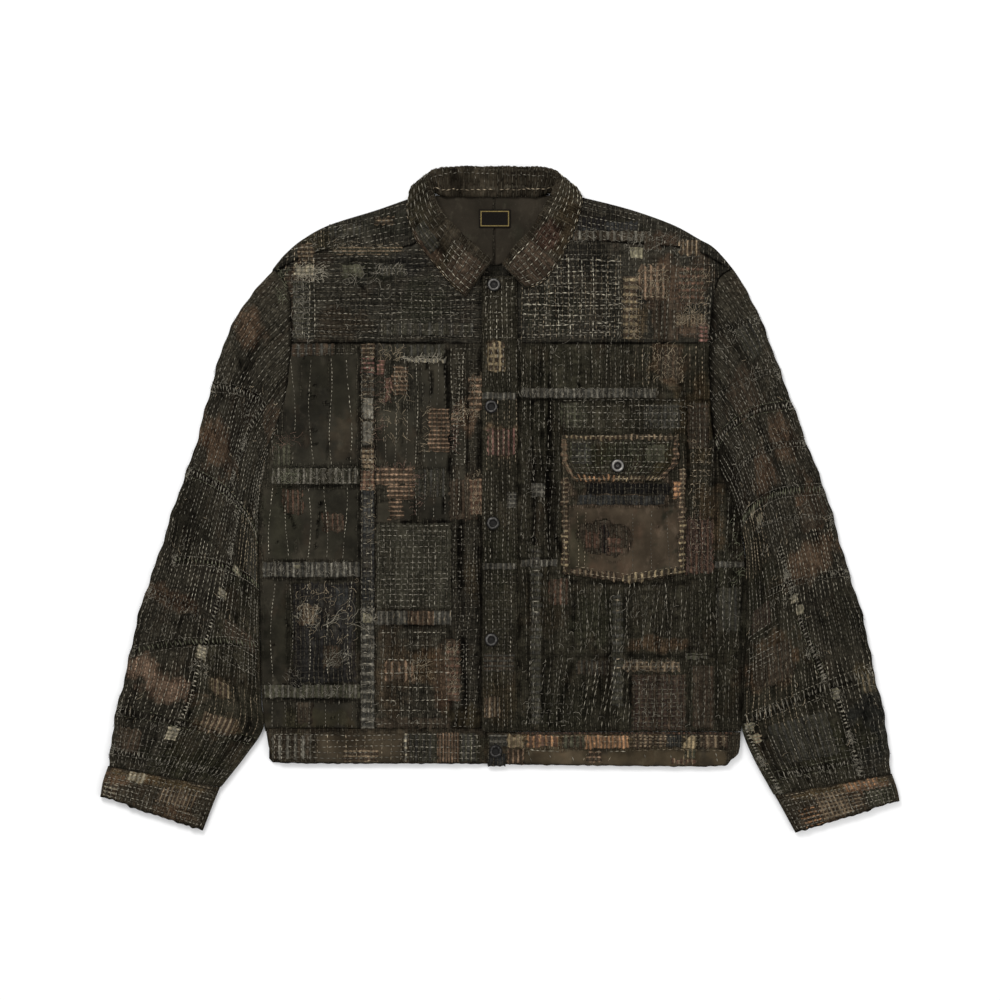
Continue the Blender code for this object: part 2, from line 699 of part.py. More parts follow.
def make_pocket():
    base = FRONT_TOP + LAY_GAP + TRIM_WALL
    rows = []
    levels = (66, 20, 7, -6, -83)
    for y in levels:
        row = []
        for x in (71, 103, 150, 190, 213):
            drop = POCKET_DROP * (1 - abs(x - 145) / 75) if y == levels[-1] else 0
            row.append((x, y - drop, base))
        rows.append(row)
    cloth("pocket", rows, lowered(rows, TRIM_WALL), "olive")
    flap_top = base + LAY_GAP + TRIM_WALL
    rows = []
    for y, left, right in ((76, 70, 206), (44, 71, 205), (22, 84, 185)):
        xs = [left, left + 28, 135, right - 28, right]
        rows.append([(x, y, flap_top) for x in xs])
    cloth("pocket_flap", rows, lowered(rows, TRIM_WALL), "brown")


def collar_section(neck, roll, edge):
    """Leaf edge, round the roll, down to the neck seam: points of the two faces.

    The fold turns from lying inwards at the front, over upright at the sides, to lying
    outwards at the back, so the section is set out along the direction of its roll.
    """
    out_x = edge[0] + roll[0] - 2 * neck[0]
    out_y = edge[1] + roll[1] - 2 * neck[1]
    out_x, out_y = unit(out_x, out_y)
    reach = sum((roll[i] - (neck[i] + edge[i]) / 2) * (out_x, out_y)[i] for i in (0, 1))
    rise = roll[2] - (neck[2] + edge[2]) / 2
    reach, rise = unit(reach, rise)
    to_roll = (out_x * reach, out_y * reach, rise)
    to_leaf = (out_x * rise, out_y * rise, -reach)
    centre = [roll[i] - to_roll[i] * ROLL_R for i in range(3)]

    def round_roll(size, degrees):
        turn = math.radians(degrees)
        return [centre[i] + size * (to_leaf[i] * math.cos(turn) + to_roll[i] * math.sin(turn))
                for i in range(3)]

    faces = []
    for size, side in ((ROLL_R, 0.0), (ROLL_R - TRIM_WALL, TRIM_WALL)):
        leaf = [edge[i] - to_leaf[i] * side for i in range(3)]
        seam = [neck[i] + to_leaf[i] * side for i in range(3)]
        arc = [round_roll(size, degrees) for degrees in (0, 45, 90, 135, 180)]
        sag = [leaf[i] + (arc[0][i] - leaf[i]) * 0.45 for i in range(3)]
        stand = [(arc[-1][i] + seam[i]) / 2 for i in range(3)]
        faces.append([leaf, sag] + arc + [stand, seam])
    return faces


def make_collar():
    """One folded piece: up from the neck seam, over the roll line and down to the leaf edge."""
    outer, inner = [], []
    for nx, ny, nz, rx, ry, rz, fx, fy, fz in COLLAR:
        out, within = collar_section((nx, ny, nz), (rx, ry, rz), (fx, fy, fz))
        outer.append(out)
        inner.append(within)
    cloth("collar", outer, inner, "brown")


def make_patches():
    """Each takes the points of the cloth it lies on that fall within its lines, moved out."""
    for name, base, x0, x1, y0, y1, colour in PATCHES:
        rows = []
        for row in GRIDS[base]:
            picked = [(x, y, z + LAY_GAP + PATCH_WALL) for x, y, z in row
                      if x0 <= x <= x1 and y1 <= y <= y0]
            if picked:
                rows.append(picked)
        if name == "pocket_strip_barred":
            rows[0] = [(x, y - SEAM_GAP, z) for x, y, z in rows[0]]
        cloth(name, rows, lowered(rows, PATCH_WALL), colour)


def top_of(name, x, y):
    """Height of a flat-lying piece's outer face nearest a point."""
    best = min((abs(px - x) + abs(py - y), pz) for row in GRIDS[name] for px, py, pz in row)
    return best[1]


def make_buttons():
    """Cast metal tack buttons: a turned cap with a raised rim and a sunk centre."""
    profile = [(0.0, 1.6), (2.0, 1.6), (3.4, 3.0), (5.6, 3.6), (7.2, 3.0), (BUTTON_R, 1.8),
               (7.2, 0.4), (0.0, 0.0)]
    for name, x, y, base in BUTTONS:
        bm = bmesh.new()
        z = top_of(base, x, y) + LAY_GAP
        line = [bm.verts.new(((x + r) * MM, y * MM, (z + h) * MM)) for r, h in profile]
        edges = [bm.edges.new(pair) for pair in zip(line, line[1:])]
        bmesh.ops.spin(bm, geom=line + edges, cent=(x * MM, y * MM, 0.0), axis=(0, 0, 1),
                       angle=math.tau, steps=18, use_merge=True)
        bmesh.ops.remove_doubles(bm, verts=bm.verts, dist=0.00001)
        made = finish(name, bm, "metal", metallic=0.85, roughness=0.45)
        made.data.shade_smooth()
        made.data.set_sharp_from_angle(angle=math.radians(40))


GRIDS = {}
clear_scene()
JACKET = new_collection()
make_back()
make_back_yoke()
make_neck_lining()
make_label()
make_fronts()
make_front_yokes()
make_placket()
make_pocket()
make_waistband()
make_sleeves()
make_cuffs()
make_collar()
make_patches()
make_buttons()
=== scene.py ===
"""A patched boro work jacket, buttoned and laid flat on its back with the sleeves down.

Sizes in the tables are millimetres. "Right" and "left" are the wearer's, so the right side
is at -X. Each piece of cloth is a thin shell of one woven face with its edges turned in,
and the running stitches, sewn-on scraps and loose ends are modelled on top of it.
"""
import math
import random

import bmesh
import bpy
import numpy as np
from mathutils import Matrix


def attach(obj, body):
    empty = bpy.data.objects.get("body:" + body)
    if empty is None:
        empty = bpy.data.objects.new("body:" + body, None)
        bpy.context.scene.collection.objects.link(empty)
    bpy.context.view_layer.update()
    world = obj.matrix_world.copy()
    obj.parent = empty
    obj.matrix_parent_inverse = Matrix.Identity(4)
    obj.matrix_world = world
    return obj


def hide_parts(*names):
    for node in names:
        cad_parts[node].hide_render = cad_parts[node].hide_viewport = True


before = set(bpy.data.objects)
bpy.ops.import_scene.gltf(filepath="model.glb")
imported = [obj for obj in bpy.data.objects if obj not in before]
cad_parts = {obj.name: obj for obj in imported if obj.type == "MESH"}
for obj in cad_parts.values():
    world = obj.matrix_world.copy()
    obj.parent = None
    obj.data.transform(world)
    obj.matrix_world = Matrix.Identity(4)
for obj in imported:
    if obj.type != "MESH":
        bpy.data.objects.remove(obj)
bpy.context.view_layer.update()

# ---------------------------------------------------------------------------------------
# Back. One flat panel of overdyed cotton, quilted to a second layer with running stitch.
# It carries the side seams, where it turns up to meet the fronts, and lies on the surface.
# The cloth itself is described here, because every other piece is cut from the same kind.
MM = 0.001
EDGE_R = 3.5
OUTLINE = {  # side of the body from the top of the armhole down to the waistband: x, y
    "right": [
        (-261, 266), (-250, 254), (-244, 241), (-240, 217), (-240, 181), (-244, 139), (-250, 110),
        (-259, 81), (-265, 62), (-274, 33), (-275, 20), (-278, -22), (-277, -72), (-276, -128),
        (-274, -213), (-270, -262), (-269, -270)],
    "left": [
        (269, 267), (255, 258), (248, 242), (244, 217), (241, 181), (241, 139), (243, 110),
        (247, 76), (250, 62), (254, 33), (260, 20), (274, -22), (283, -83), (283, -128),
        (281, -190), (277, -266), (277, -270)],
}


def softened(line, steps=6):
    """The same line of points drawn as a smooth curve through them."""
    points = np.array(line, float)
    ends = np.vstack([2 * points[0] - points[1], points, 2 * points[-1] - points[-2]])
    drawn = []
    for a, b, c, d in zip(ends, ends[1:], ends[2:], ends[3:]):
        for t in np.arange(steps) / steps:
            drawn.append(0.5 * (2 * b + (c - a) * t + (2 * a - 5 * b + 4 * c - d) * t * t
                                + (3 * b - a - 3 * c + d) * t ** 3))
    return np.array(drawn + [points[-1]])


SIDE_LINE = {side: softened(line) for side, line in OUTLINE.items()}
OUTWARD = {"right": -1, "left": 1}      # way along X from the middle to each side
ARMPIT_Y, WAIST_Y = 33, -265.7


def on_line(x, line):
    """Level of a drawn line at each x."""
    return np.interp(x, line[:, 0], line[:, 1])


def run_along(line):
    """Distance from the start of a drawn line to each of its points."""
    return np.concatenate([[0], np.cumsum(np.linalg.norm(np.diff(line, axis=0), axis=1))])


def rounded(inset, radius):
    """Height of a round edge of that radius at each distance in from its side."""
    reach = np.clip(radius - inset, 0, radius)
    return np.sqrt(radius ** 2 - reach ** 2)


def side_x(side, y):
    """Side of the body at a level, filled out a little where the sleeve lies against it."""
    line = SIDE_LINE[side]
    y = np.asarray(y, float)
    full = 0.9 * np.clip((y + 270) / 10, 0, 1) * np.clip((40 - y) / 10, 0, 1)
    return np.interp(-y, -line[:, 1], line[:, 0]) + OUTWARD[side] * full


def ripple(u, v, size, seed):
    """Uneven rise and fall of hand-worked cloth, from -1 to 1, with humps about size apart."""
    dice = random.Random(seed)
    total = 0
    for _ in range(8):
        heading = dice.uniform(0, math.tau)
        pitch = size * dice.uniform(0.7, 1.6)
        total = total + np.sin((u * math.cos(heading) + v * math.sin(heading)) * math.tau / pitch
                               + dice.uniform(0, math.tau))
    return total / 3.2


def crease(u, v, lines):
    """Sum of soft ridges and troughs: u, v at one end; u, v at the other; half width; height."""
    total = np.zeros(np.broadcast(u, v).shape)
    for u0, v0, u1, v1, half, height in lines:
        du, dv = u1 - u0, v1 - v0
        length = math.hypot(du, dv)
        along = ((u - u0) * du + (v - v0) * dv) / length ** 2
        off = np.abs((u - u0) * dv - (v - v0) * du) / length / half
        off = off + 0.25 * np.sin(along * 9 + u0)
        fade = np.clip(np.minimum(along, 1 - along) * 4, 0, 1)
        total += height * fade * np.where(np.abs(off) < 1, 0.5 + 0.5 * np.cos(np.pi * off), 0)
    return total


class Wiring:
    """Adds shader nodes to one tree, with a value or a link put into each named socket."""

    def __init__(self, tree):
        self.tree = tree

    def node(self, kind, sockets=(), **settings):
        made = self.tree.nodes.new(f"ShaderNode{kind}")
        for setting, value in settings.items():
            setattr(made, setting, value)
        for socket, value in dict(sockets).items():
            if isinstance(value, bpy.types.NodeSocket):
                self.join(value, made.inputs[socket])
            else:
                made.inputs[socket].default_value = value
        return made

    def join(self, value, socket):
        self.tree.links.new(value, socket)

    def cut(self):
        """Place on the flat pattern of the cloth."""
        return self.node("UVMap", uv_map="cut").outputs["UV"]

    def read(self, name, kind="Color"):
        """A value kept in the mesh."""
        return self.node("Attribute", attribute_name=name).outputs[kind]

    def sums(self, op, *values):
        return self.node("Math", enumerate(values), operation=op).outputs[0]

    def ranged(self, value, low, high, to_low=0.0, to_high=1.0):
        return self.node("MapRange", {"Value": value, "From Min": low, "From Max": high,
                                      "To Min": to_low, "To Max": to_high}).outputs["Result"]

    def mixed(self, factor, a, b, blend="MIX"):
        return self.node("Mix", {"Factor": factor, "A": a, "B": b}, data_type="RGBA",
                         blend_type=blend).outputs["Result"]

    def scaled(self, value, scale):
        return self.node("VectorMath", {0: value, "Scale": scale}, operation="SCALE").outputs[0]

    def cloud(self, place, scale, stretch=(1, 1, 1), detail=3.0, rough=0.6):
        """Cloudy noise, drawn out along an axis where its stretch is small."""
        size = self.node("Mapping", {"Vector": place, "Scale": [scale * s for s in stretch]})
        return self.node("TexNoise", {"Vector": size.outputs["Vector"], "Scale": 1.0,
                                      "Detail": detail, "Roughness": rough}).outputs["Fac"]

    def bumped(self, height, distance, strength=1.0):
        return self.node("Bump", {"Height": height, "Distance": distance,
                                  "Strength": strength}).outputs["Normal"]


def worn_weave_and_shade():
    """Node group: yarns, uneven dye, rubbed threads and lint of old overdyed cotton, and painted
    light and shade.
    """
    group = bpy.data.node_groups.new("worn_weave_and_shade", "ShaderNodeTree")
    for name, kind, way in (("Cut", "Vector", "INPUT"), ("Ground", "Color", "INPUT"),
                            ("Faded", "Color", "INPUT"), ("Stain", "Color", "INPUT"),
                            ("Shade and plain", "Float", "INPUT"), ("Grid", "Float", "INPUT"),
                            ("Colour", "Color", "OUTPUT"), ("Height", "Float", "OUTPUT")):
        group.interface.new_socket(name, in_out=way, socket_type=f"NodeSocket{kind}")
    given = group.nodes.new("NodeGroupInput").outputs
    out = group.nodes.new("NodeGroupOutput").inputs
    yarns = Wiring(group)
    sums, ranged, mixed = yarns.sums, yarns.ranged, yarns.mixed

    def product(first, *others):
        for other in others:
            first = sums("MULTIPLY", first, other)
        return first

    def noise(scale, stretch=(1, 1, 1), detail=3.0, rough=0.6):
        return yarns.cloud(given["Cut"], scale, stretch, detail, rough)

    def drawn(first, second):
        """A random value for each pair of numbers."""
        place = yarns.node("CombineXYZ", {0: first, 1: second}).outputs[0]
        speck = yarns.node("TexWhiteNoise", {"Vector": place}, noise_dimensions="2D")
        return speck.outputs["Value"]

    def darning(across, along, pitch, stride, seed):
        """Fine rows of stitches in the yarn itself: mask of the thread, and of its furrow."""
        row = sums("DIVIDE", across, pitch)
        number = sums("FLOOR", row)
        chance = drawn(number, seed)
        off = sums("SUBTRACT", sums("FRACT", row), ranged(chance, 0, 1, 0.40, 0.60))
        off = product(sums("ABSOLUTE", off), pitch)
        step = sums("ADD", sums("DIVIDE", along, stride), product(chance, 7.3))
        length = sums("FRACT", step)
        strength = drawn(number, sums("ADD", sums("FLOOR", step), seed))
        shown = product(ranged(length, 0.0, 0.12), ranged(length, 0.92, 0.80))
        thread = product(ranged(off, 0.75, 0.25), shown)
        return product(thread, ranged(strength, 0.0, 0.9, 0.25, 1.0)), ranged(off, 1.9, 0.2)

    millimetres = yarns.scaled(given["Cut"], 1 / MM)
    place = yarns.node("SeparateXYZ", {0: millimetres}).outputs
    wander = sums("ADD", product(noise(34), 9), product(noise(240, detail=2), 1.6))
    across = sums("ADD", place["X"], wander)
    along = sums("ADD", place["Y"], product(wander, -0.8))
    blotch = noise(17, detail=4)
    stain = noise(31, (1, 0.6, 1))
    warp = noise(900, (1, 0.05, 1), 2, 0.7)
    weft = noise(820, (0.06, 1, 1), 2, 0.7)
    streak = noise(260, (1, 0.07, 1))
    lint = noise(520, detail=2, rough=0.5)
    band = noise(62, (1, 0.09, 1), 2)
    rubbed = noise(75, (1, 0.5, 1), 5, 0.75)
    crumple = noise(105, (1, 0.62, 1), 4, 0.7)
    pucker = noise(210, (0.55, 1, 1))
    colour = mixed(ranged(blotch, 0.38, 0.62), given["Ground"], given["Faded"])
    colour = mixed(ranged(stain, 0.56, 0.72, 0, 0.55), colour, given["Stain"])
    yarn = sums("ADD", warp, weft)
    smooth = ranged(given["Shade and plain"], -0.15, -0.85)
    worn = sums("SUBTRACT", 1, smooth)
    fold = ranged(sums("ABSOLUTE", sums("SUBTRACT", crumple, 0.5)), 0.0, 0.14)
    # Yarn tone and random bands of tone, times painted shade in the crumples' valleys and painted
    # light and shade on the puckers: darker low, lighter high.
    shade = product(ranged(sums("ADD", streak, yarn), 0.95, 2.1, 0.42, 1.38),
                    ranged(fold, 0, 1, 0.55, 1.12), ranged(pucker, 0.36, 0.64, 0.70, 1.32),
                    ranged(band, 0.36, 0.64, 0.62, 1.30), worn)
    shade = sums("ADD", shade, product(smooth, ranged(blotch, 0.36, 0.64, 0.56, 0.92)))
    rows = darning(across, along, 5.4, 4.2, 3)
    bars = darning(along, across, 6.4, 4.2, 11)
    upright = product(ranged(noise(13, (1, 0.7, 1), 2), 0.34, 0.50, 0.3, 1), worn)
    level = product(ranged(noise(15, (0.7, 1, 1), 2), 0.42, 0.56), worn, given["Grid"])
    furrow = sums("MAXIMUM", product(rows[1], upright), product(bars[1], level))
    # Painted shade in the furrows beside the fine stitch rows, lighter away from them.
    colour = yarns.scaled(colour, product(shade, ranged(furrow, 0, 1, 1.30, 0.50)))
    colour = mixed(ranged(rubbed, 0.54, 0.78, 0, 0.30), colour, (0.108, 0.094, 0.067, 1))
    colour = mixed(ranged(lint, 0.70, 0.82, 0, 0.3), colour, (0.20, 0.175, 0.125, 1))
    worked = sums("MAXIMUM", product(rows[0], upright), product(bars[0], level))
    colour = mixed(product(worked, 0.55), colour, (0.130, 0.114, 0.082, 1))
    # Painted shade: the colour is darkened where the cloth lies in creases, hollows and along
    # seams.
    hollow_shade = ranged(given["Shade and plain"], 0.0, 1.0, 1.0, 0.16)
    yarns.join(yarns.scaled(colour, hollow_shade), out["Colour"])
    relief = sums("ADD", product(yarn, 0.25), product(fold, 0.55))
    relief = product(sums("ADD", relief, product(pucker, 1.1)), ranged(worn, 0, 1, 0.25, 1))
    relief = sums("SUBTRACT", relief, product(furrow, 0.7))
    yarns.join(sums("ADD", relief, product(worked, 0.6)), out["Height"])
    return group


WEAVE_AND_SHADE = worn_weave_and_shade()


def new_finish(name, rough, gloss=0.02):
    """A new material: itself, the sockets of its Principled shader, and its wiring."""
    made = bpy.data.materials.new(name)
    made.use_nodes = True
    skin = made.node_tree.nodes["Principled BSDF"].inputs
    skin["Roughness"].default_value = rough
    skin["Specular IOR Level"].default_value = gloss
    return made, skin, Wiring(made.node_tree)


def cloth_finish(name, ground, faded, stain, grid=0.2):
    """Material of one cloth, with its own dye colours; tint holds the listed stains."""
    made, skin, cloth = new_finish(name, 0.95)
    weave = cloth.node("Group", {
        "Cut": cloth.cut(), "Ground": (*ground, 1), "Faded": (*faded, 1), "Stain": (*stain, 1),
        "Shade and plain": cloth.read("shade_and_plain", "Fac"), "Grid": grid}, node_tree=WEAVE_AND_SHADE).outputs
    dyed = cloth.mixed(1.0, weave["Colour"], cloth.read("tint"), "MULTIPLY")
    cloth.join(dyed, skin["Base Color"])
    cloth.join(cloth.bumped(weave["Height"], 0.0016), skin["Normal"])
    return made


CHARCOAL = cloth_finish("cloth_charcoal", (0.0180, 0.0160, 0.0118), (0.030, 0.0262, 0.0185),
                        (0.038, 0.0255, 0.0165))
OLIVE = cloth_finish("cloth_olive", (0.0170, 0.0152, 0.0102), (0.028, 0.0250, 0.0166),
                     (0.036, 0.0250, 0.0158))
SLATE = cloth_finish("cloth_slate", (0.0165, 0.0152, 0.0120), (0.028, 0.0252, 0.0190),
                     (0.034, 0.0240, 0.0160), grid=0.6)
BROWN = cloth_finish("cloth_brown", (0.0250, 0.0200, 0.0135), (0.040, 0.0320, 0.0215),
                     (0.048, 0.0315, 0.0195), grid=0.8)


def stained(u, v, stains):
    """Multiplier of the dye at each point: u, v of a stain, its half sizes, and its colour."""
    tint = np.ones(np.broadcast(u, v).shape + (3,))
    for u0, v0, wide, high, colour in stains:
        edge = 0.28 * ripple(u, v, 24, 7) + 0.15 * ripple(u, v, 9, 8)
        reach = np.sqrt(((u - u0) / wide) ** 2 + ((v - v0) / high) ** 2) + edge
        share = np.clip((1.15 - reach) / 0.4, 0, 1)[..., None]
        tint = tint * (1 - share) + np.array(colour) * share
    return tint


def smoothed(shade_and_plain, u, v, plain):
    """Marks the stretches left plain between the stitching: u0, v0, u1, v1 of each."""
    for u0, v0, u1, v1 in plain:
        shake = 1.5 * ripple(u, v, 16, 14)
        inside = np.minimum(np.minimum(u - u0, u1 - u), np.minimum(v - v0, v1 - v)) + shake
        share = np.clip(inside / 5, 0, 1)
        shade_and_plain = np.where(shade_and_plain > 0.6, shade_and_plain, shade_and_plain * (1 - share) - share)
    return shade_and_plain


def grooved(shade_and_plain, u, v, lines):
    """Painted shade along seams and tuck lines: u0, v0, u1, v1, half width, depth of shade of each.
    """
    for u0, v0, u1, v1, half, shade_strength in lines:
        long = math.hypot(u1 - u0, v1 - v0)
        along = ((u - u0) * (u1 - u0) + (v - v0) * (v1 - v0)) / long
        away = ((u - u0) * (v1 - v0) - (v - v0) * (u1 - u0)) / long
        away = away + 0.9 * ripple(u, v, 18, 15)
        fade = np.clip(np.minimum(along, long - along) / 8 + 0.5, 0, 1)
        fade = fade * np.clip(0.75 + 0.6 * ripple(u, v, 26, 16), 0.2, 1)
        shade_and_plain = shade_and_plain + shade_strength * fade * np.exp(-(away / half) ** 2) * (1 - shade_and_plain)
    return shade_and_plain


def facing(points):
    """Unit directions out of a grid of points."""
    across = np.gradient(points, axis=1)
    along = np.gradient(points, axis=0)
    out = np.cross(across, along)
    return out / np.maximum(np.linalg.norm(out, axis=2, keepdims=True), 1e-9)


def ringed(values):
    """The same grid of values with one more row and column on each side."""
    return np.pad(values, ((1, 1), (1, 1), (0, 0)), mode="edge")


def turned_in(top, under):
    """A grid of points with a ring round it that is turned in to the underside."""
    whole, low = ringed(top), ringed(under)
    for edge in (np.s_[0], np.s_[-1], np.s_[:, 0], np.s_[:, -1]):
        whole[edge] = low[edge]
    return whole


def laid_down(name, mesh, finish):
    """The finished piece, smooth and in its own material, on the jacket's one body."""
    mesh.shade_smooth()
    mesh.materials.append(finish)
    made = bpy.data.objects.new(name, mesh)
    bpy.context.scene.collection.objects.link(made)
    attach(made, "root")
    return made


def cut_cloth(name, points, cut, finish, shade_and_plain=None, tint=None, turned=1.4):
    """A woven face over rows and columns of points, with its four edges turned in.

    cut is each point's place on the flat pattern. Columns run so that the face looks out.
    """
    rows, columns = points.shape[:2]
    whole = turned_in(points, points - facing(points) * turned)
    whole[..., 2] = np.maximum(whole[..., 2], 0)
    bm = bmesh.new()
    bmesh.ops.create_grid(bm, x_segments=columns + 1, y_segments=rows + 1, size=1.0)
    mesh = bpy.data.meshes.new(name)
    bm.to_mesh(mesh)
    bm.free()
    mesh.vertices.foreach_set("co", (whole * MM).astype(np.float32).ravel())
    corner = np.empty(len(mesh.loops), dtype=np.int32)
    mesh.loops.foreach_get("vertex_index", corner)
    laid = (ringed(cut) * MM).reshape(-1, 2)[corner]
    mesh.uv_layers.new(name="cut").data.foreach_set("uv", laid.astype(np.float32).ravel())
    # Painted shade where this value is above 0, from creases and seams; plain cloth where it is
    # below 0.
    hollow_shade = np.pad(np.zeros((rows, columns)) if shade_and_plain is None else shade_and_plain, 1, mode="edge")
    mesh.attributes.new("shade_and_plain", "FLOAT", "POINT").data.foreach_set(
        "value", hollow_shade.astype(np.float32).ravel())
    dye = np.ones(hollow_shade.shape + (4,), dtype=np.float32)
    if tint is not None:
        dye[..., :3] = ringed(tint)
    mesh.attributes.new("tint", "FLOAT_COLOR", "POINT").data.foreach_set("color", dye.ravel())
    mesh.update()
    return laid_down(name, mesh, finish)


def between(start, end, step):
    """Even positions from start to end, about step apart."""
    return np.linspace(start, end, max(2, round(abs(end - start) / step) + 1))


BACK_CREASES = [  # x, y at each end; half width; height
    (-150, 190, -120, 20, 16, 0.9), (140, 200, 150, 60, 18, 0.8), (-60, 120, -80, -90, 20, 0.7),
    (40, 60, 70, -160, 24, 0.8), (-200, -40, -180, -220, 14, 0.9), (210, 20, 190, -190, 16, 0.7),
    (-230, 150, -120, 110, 12, 0.6), (225, 140, 130, 100, 12, 0.6)]


def back_z(x, y):
    """Height of the jacket's underside, which lies close to the surface."""
    lift = 0.5 + crease(x, y, BACK_CREASES) + 0.12 * (1 + ripple(x, y, 40, 3))
    inset = np.minimum(x - side_x("right", y), side_x("left", y) - x)
    return np.where(y < ARMPIT_Y, lift + EDGE_R - rounded(inset, EDGE_R), lift)


SIDE_TURN = np.array([0, 0.25, 0.9, 1.9, 3.5])      # steps in from a side seam, closest first
levels = between(WAIST_Y, 216.8, 3.0)
right, left = side_x("right", levels)[:, None], side_x("left", levels)[:, None]
near, far = right + SIDE_TURN[-1] + 1.5, left - SIDE_TURN[-1] - 1.5
x = np.hstack([right + SIDE_TURN, near + (far - near) * np.linspace(0, 1, 173),
               left - SIDE_TURN[::-1]])
y = np.repeat(levels[:, None], x.shape[1], axis=1)
points = np.dstack([x, y, back_z(x, y)])[:, ::-1]
back = cut_cloth("back_cloth", points, points[..., :2], CHARCOAL,
                 tint=stained(points[..., 0], points[..., 1], [
                     (-120, 120, 50, 34, (1.9, 1.3, 1)), (150, -60, 60, 40, (1.6, 1.2, 1)),
                     (40, -180, 70, 30, (2, 1.35, 1)), (-190, -120, 40, 60, (0.7, 0.75, 0.8)),
                     (90, 130, 60, 40, (0.75, 0.8, 0.85))]))
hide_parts("back")

THREAD = {  # colours of the sewing yarns
    "pale": (0.345, 0.312, 0.240), "grey": (0.228, 0.208, 0.164), "dim": (0.140, 0.127, 0.100),
    "sand": (0.300, 0.243, 0.165), "rust": (0.170, 0.112, 0.084), "moss": (0.150, 0.150, 0.098),
}


def thread_finish():
    """Material of all thread: each stitch keeps its own dye, with a little fuzz along it."""
    made, skin, yarn = new_finish("cotton_thread", 0.9, 0.05)
    place = yarn.node("TexCoord").outputs["Object"]
    fuzz = yarn.node("TexNoise", {"Vector": place, "Scale": 700, "Detail": 3}).outputs["Fac"]
    worn = yarn.scaled(yarn.read("tint"), yarn.ranged(fuzz, 0.3, 0.7, 0.6, 1.25))
    yarn.join(worn, skin["Base Color"])
    yarn.join(yarn.bumped(fuzz, 0.0003, 0.5), skin["Normal"])
    return made


COTTON_THREAD = thread_finish()


def spun(thread, tone):
    """Colour of one length of a thread, lighter or darker by its tone."""
    return [tone * value for value in THREAD[thread]]


def one_stitch():
    """The part of a thread that shows between two holes: its points and faces, 2 long."""
    bm = bmesh.new()
    bmesh.ops.create_uvsphere(bm, u_segments=4, v_segments=2, radius=1.0)
    shape = np.array([v.co[:] for v in bm.verts])
    faces = [[v.index for v in face.verts] for face in bm.faces]
    bm.free()
    return shape, faces


STITCH_SHAPE, STITCH_FACES = one_stitch()


def frame_at(surface, u, v, up):
    """Places on a surface, with the directions along u, along v and out of the cloth."""
    along_u = surface(u + 0.7, v) - surface(u - 0.7, v)
    along_v = surface(u, v + 0.7) - surface(u, v - 0.7)
    out = np.cross(along_u, along_v) * up
    out /= np.maximum(np.linalg.norm(out, axis=1, keepdims=True), 1e-9)
    return surface(u, v), along_u / 1.4, along_v / 1.4, out


def lay_thread(name, surface, laid, up, rise=0.36):
    """Short lengths of thread on a surface: u, v; heading; length; thickness; colour of each."""
    place, along_u, along_v, out = frame_at(surface, laid[:, 0], laid[:, 1], up)
    heading = along_u * laid[:, 2:3] + along_v * laid[:, 3:4]
    heading /= np.linalg.norm(heading, axis=1, keepdims=True)
    sideways = np.cross(out, heading)
    length, thick = laid[:, 4, None, None], laid[:, 5, None, None]
    spots = (place + out * rise)[:, None] + (
        heading[:, None] * STITCH_SHAPE[:, 2, None] * length / 2
        + sideways[:, None] * STITCH_SHAPE[:, 0, None] * thick / 2
        + out[:, None] * STITCH_SHAPE[:, 1, None] * thick * 0.42)
    spots[..., 2] = np.maximum(spots[..., 2], 0)
    count = len(STITCH_SHAPE)
    faces = []
    for face in STITCH_FACES:
        faces += (np.array(face) + np.arange(len(laid))[:, None] * count).tolist()
    mesh = bpy.data.meshes.new(name)
    mesh.from_pydata((spots.reshape(-1, 3) * MM).tolist(), [], faces)
    dye = np.ones((len(laid), count, 4), dtype=np.float32)
    dye[..., :3] = laid[:, None, 6:9]
    mesh.attributes.new("tint", "FLOAT_COLOR", "POINT").data.foreach_set("color", dye.ravel())
    return laid_down(name, mesh, COTTON_THREAD)


LONGER, CLOSER = 1.35, 0.34      # how the drawn-out stitches and gaps compare with the tables'


def running_stitch(name, surface, table, up=1, seed=1, within=None):
    """Rows of running stitch. Columns of the table: u0, v0, u1, v1 of a worked area; the way
    its rows run; row spacing; stitch; gap; thread; thickness; lean of the rows; wander.
    """
    dice = random.Random(seed)
    laid = []
    for u0, v0, u1, v1, way, pitch, stitch, gap, thread, thick, lean, wander in table:
        stitch, gap = stitch * LONGER, gap * CLOSER
        low, high, start, end = (u0, u1, v0, v1) if way == "v" else (v0, v1, u0, u1)
        row = low + pitch * dice.uniform(0.2, 0.8)
        while row < high:
            phase = dice.uniform(0, math.tau)
            along = start + dice.uniform(0, stitch + gap)
            strength = dice.uniform(0.6, 1.25)
            while along + stitch < end:
                length = stitch * dice.uniform(0.7, 1.3)
                middle = along + length / 2
                side = row + lean * (middle - start) + wander * math.sin(middle / 23 + phase)
                side += dice.uniform(-0.25, 0.25)
                worn = 0.5 + 0.5 * math.sin(middle / 9 + phase * 3)
                if dice.random() > 0.03 + 0.09 * (1 - worn) and low - 1 < side < high + 1:
                    tone = strength * dice.uniform(0.65, 1.15) * (0.55 + 0.7 * worn)
                    place = (side, middle) if way == "v" else (middle, side)
                    tilt = lean + wander / 23 * math.cos(middle / 23 + phase)
                    tilt += dice.uniform(-0.12, 0.12)
                    head = (tilt, 1) if way == "v" else (1, tilt)
                    laid.append((*place, *head, length, thick * dice.uniform(0.75, 1.15),
                                 *spun(thread, tone)))
                along += length + gap * dice.uniform(0.7, 1.4)
            row += pitch * dice.uniform(0.86, 1.14)
    laid = np.array(laid)
    if within:
        laid = laid[within(laid[:, 0], laid[:, 1])]
    return lay_thread(name, surface, laid, up)


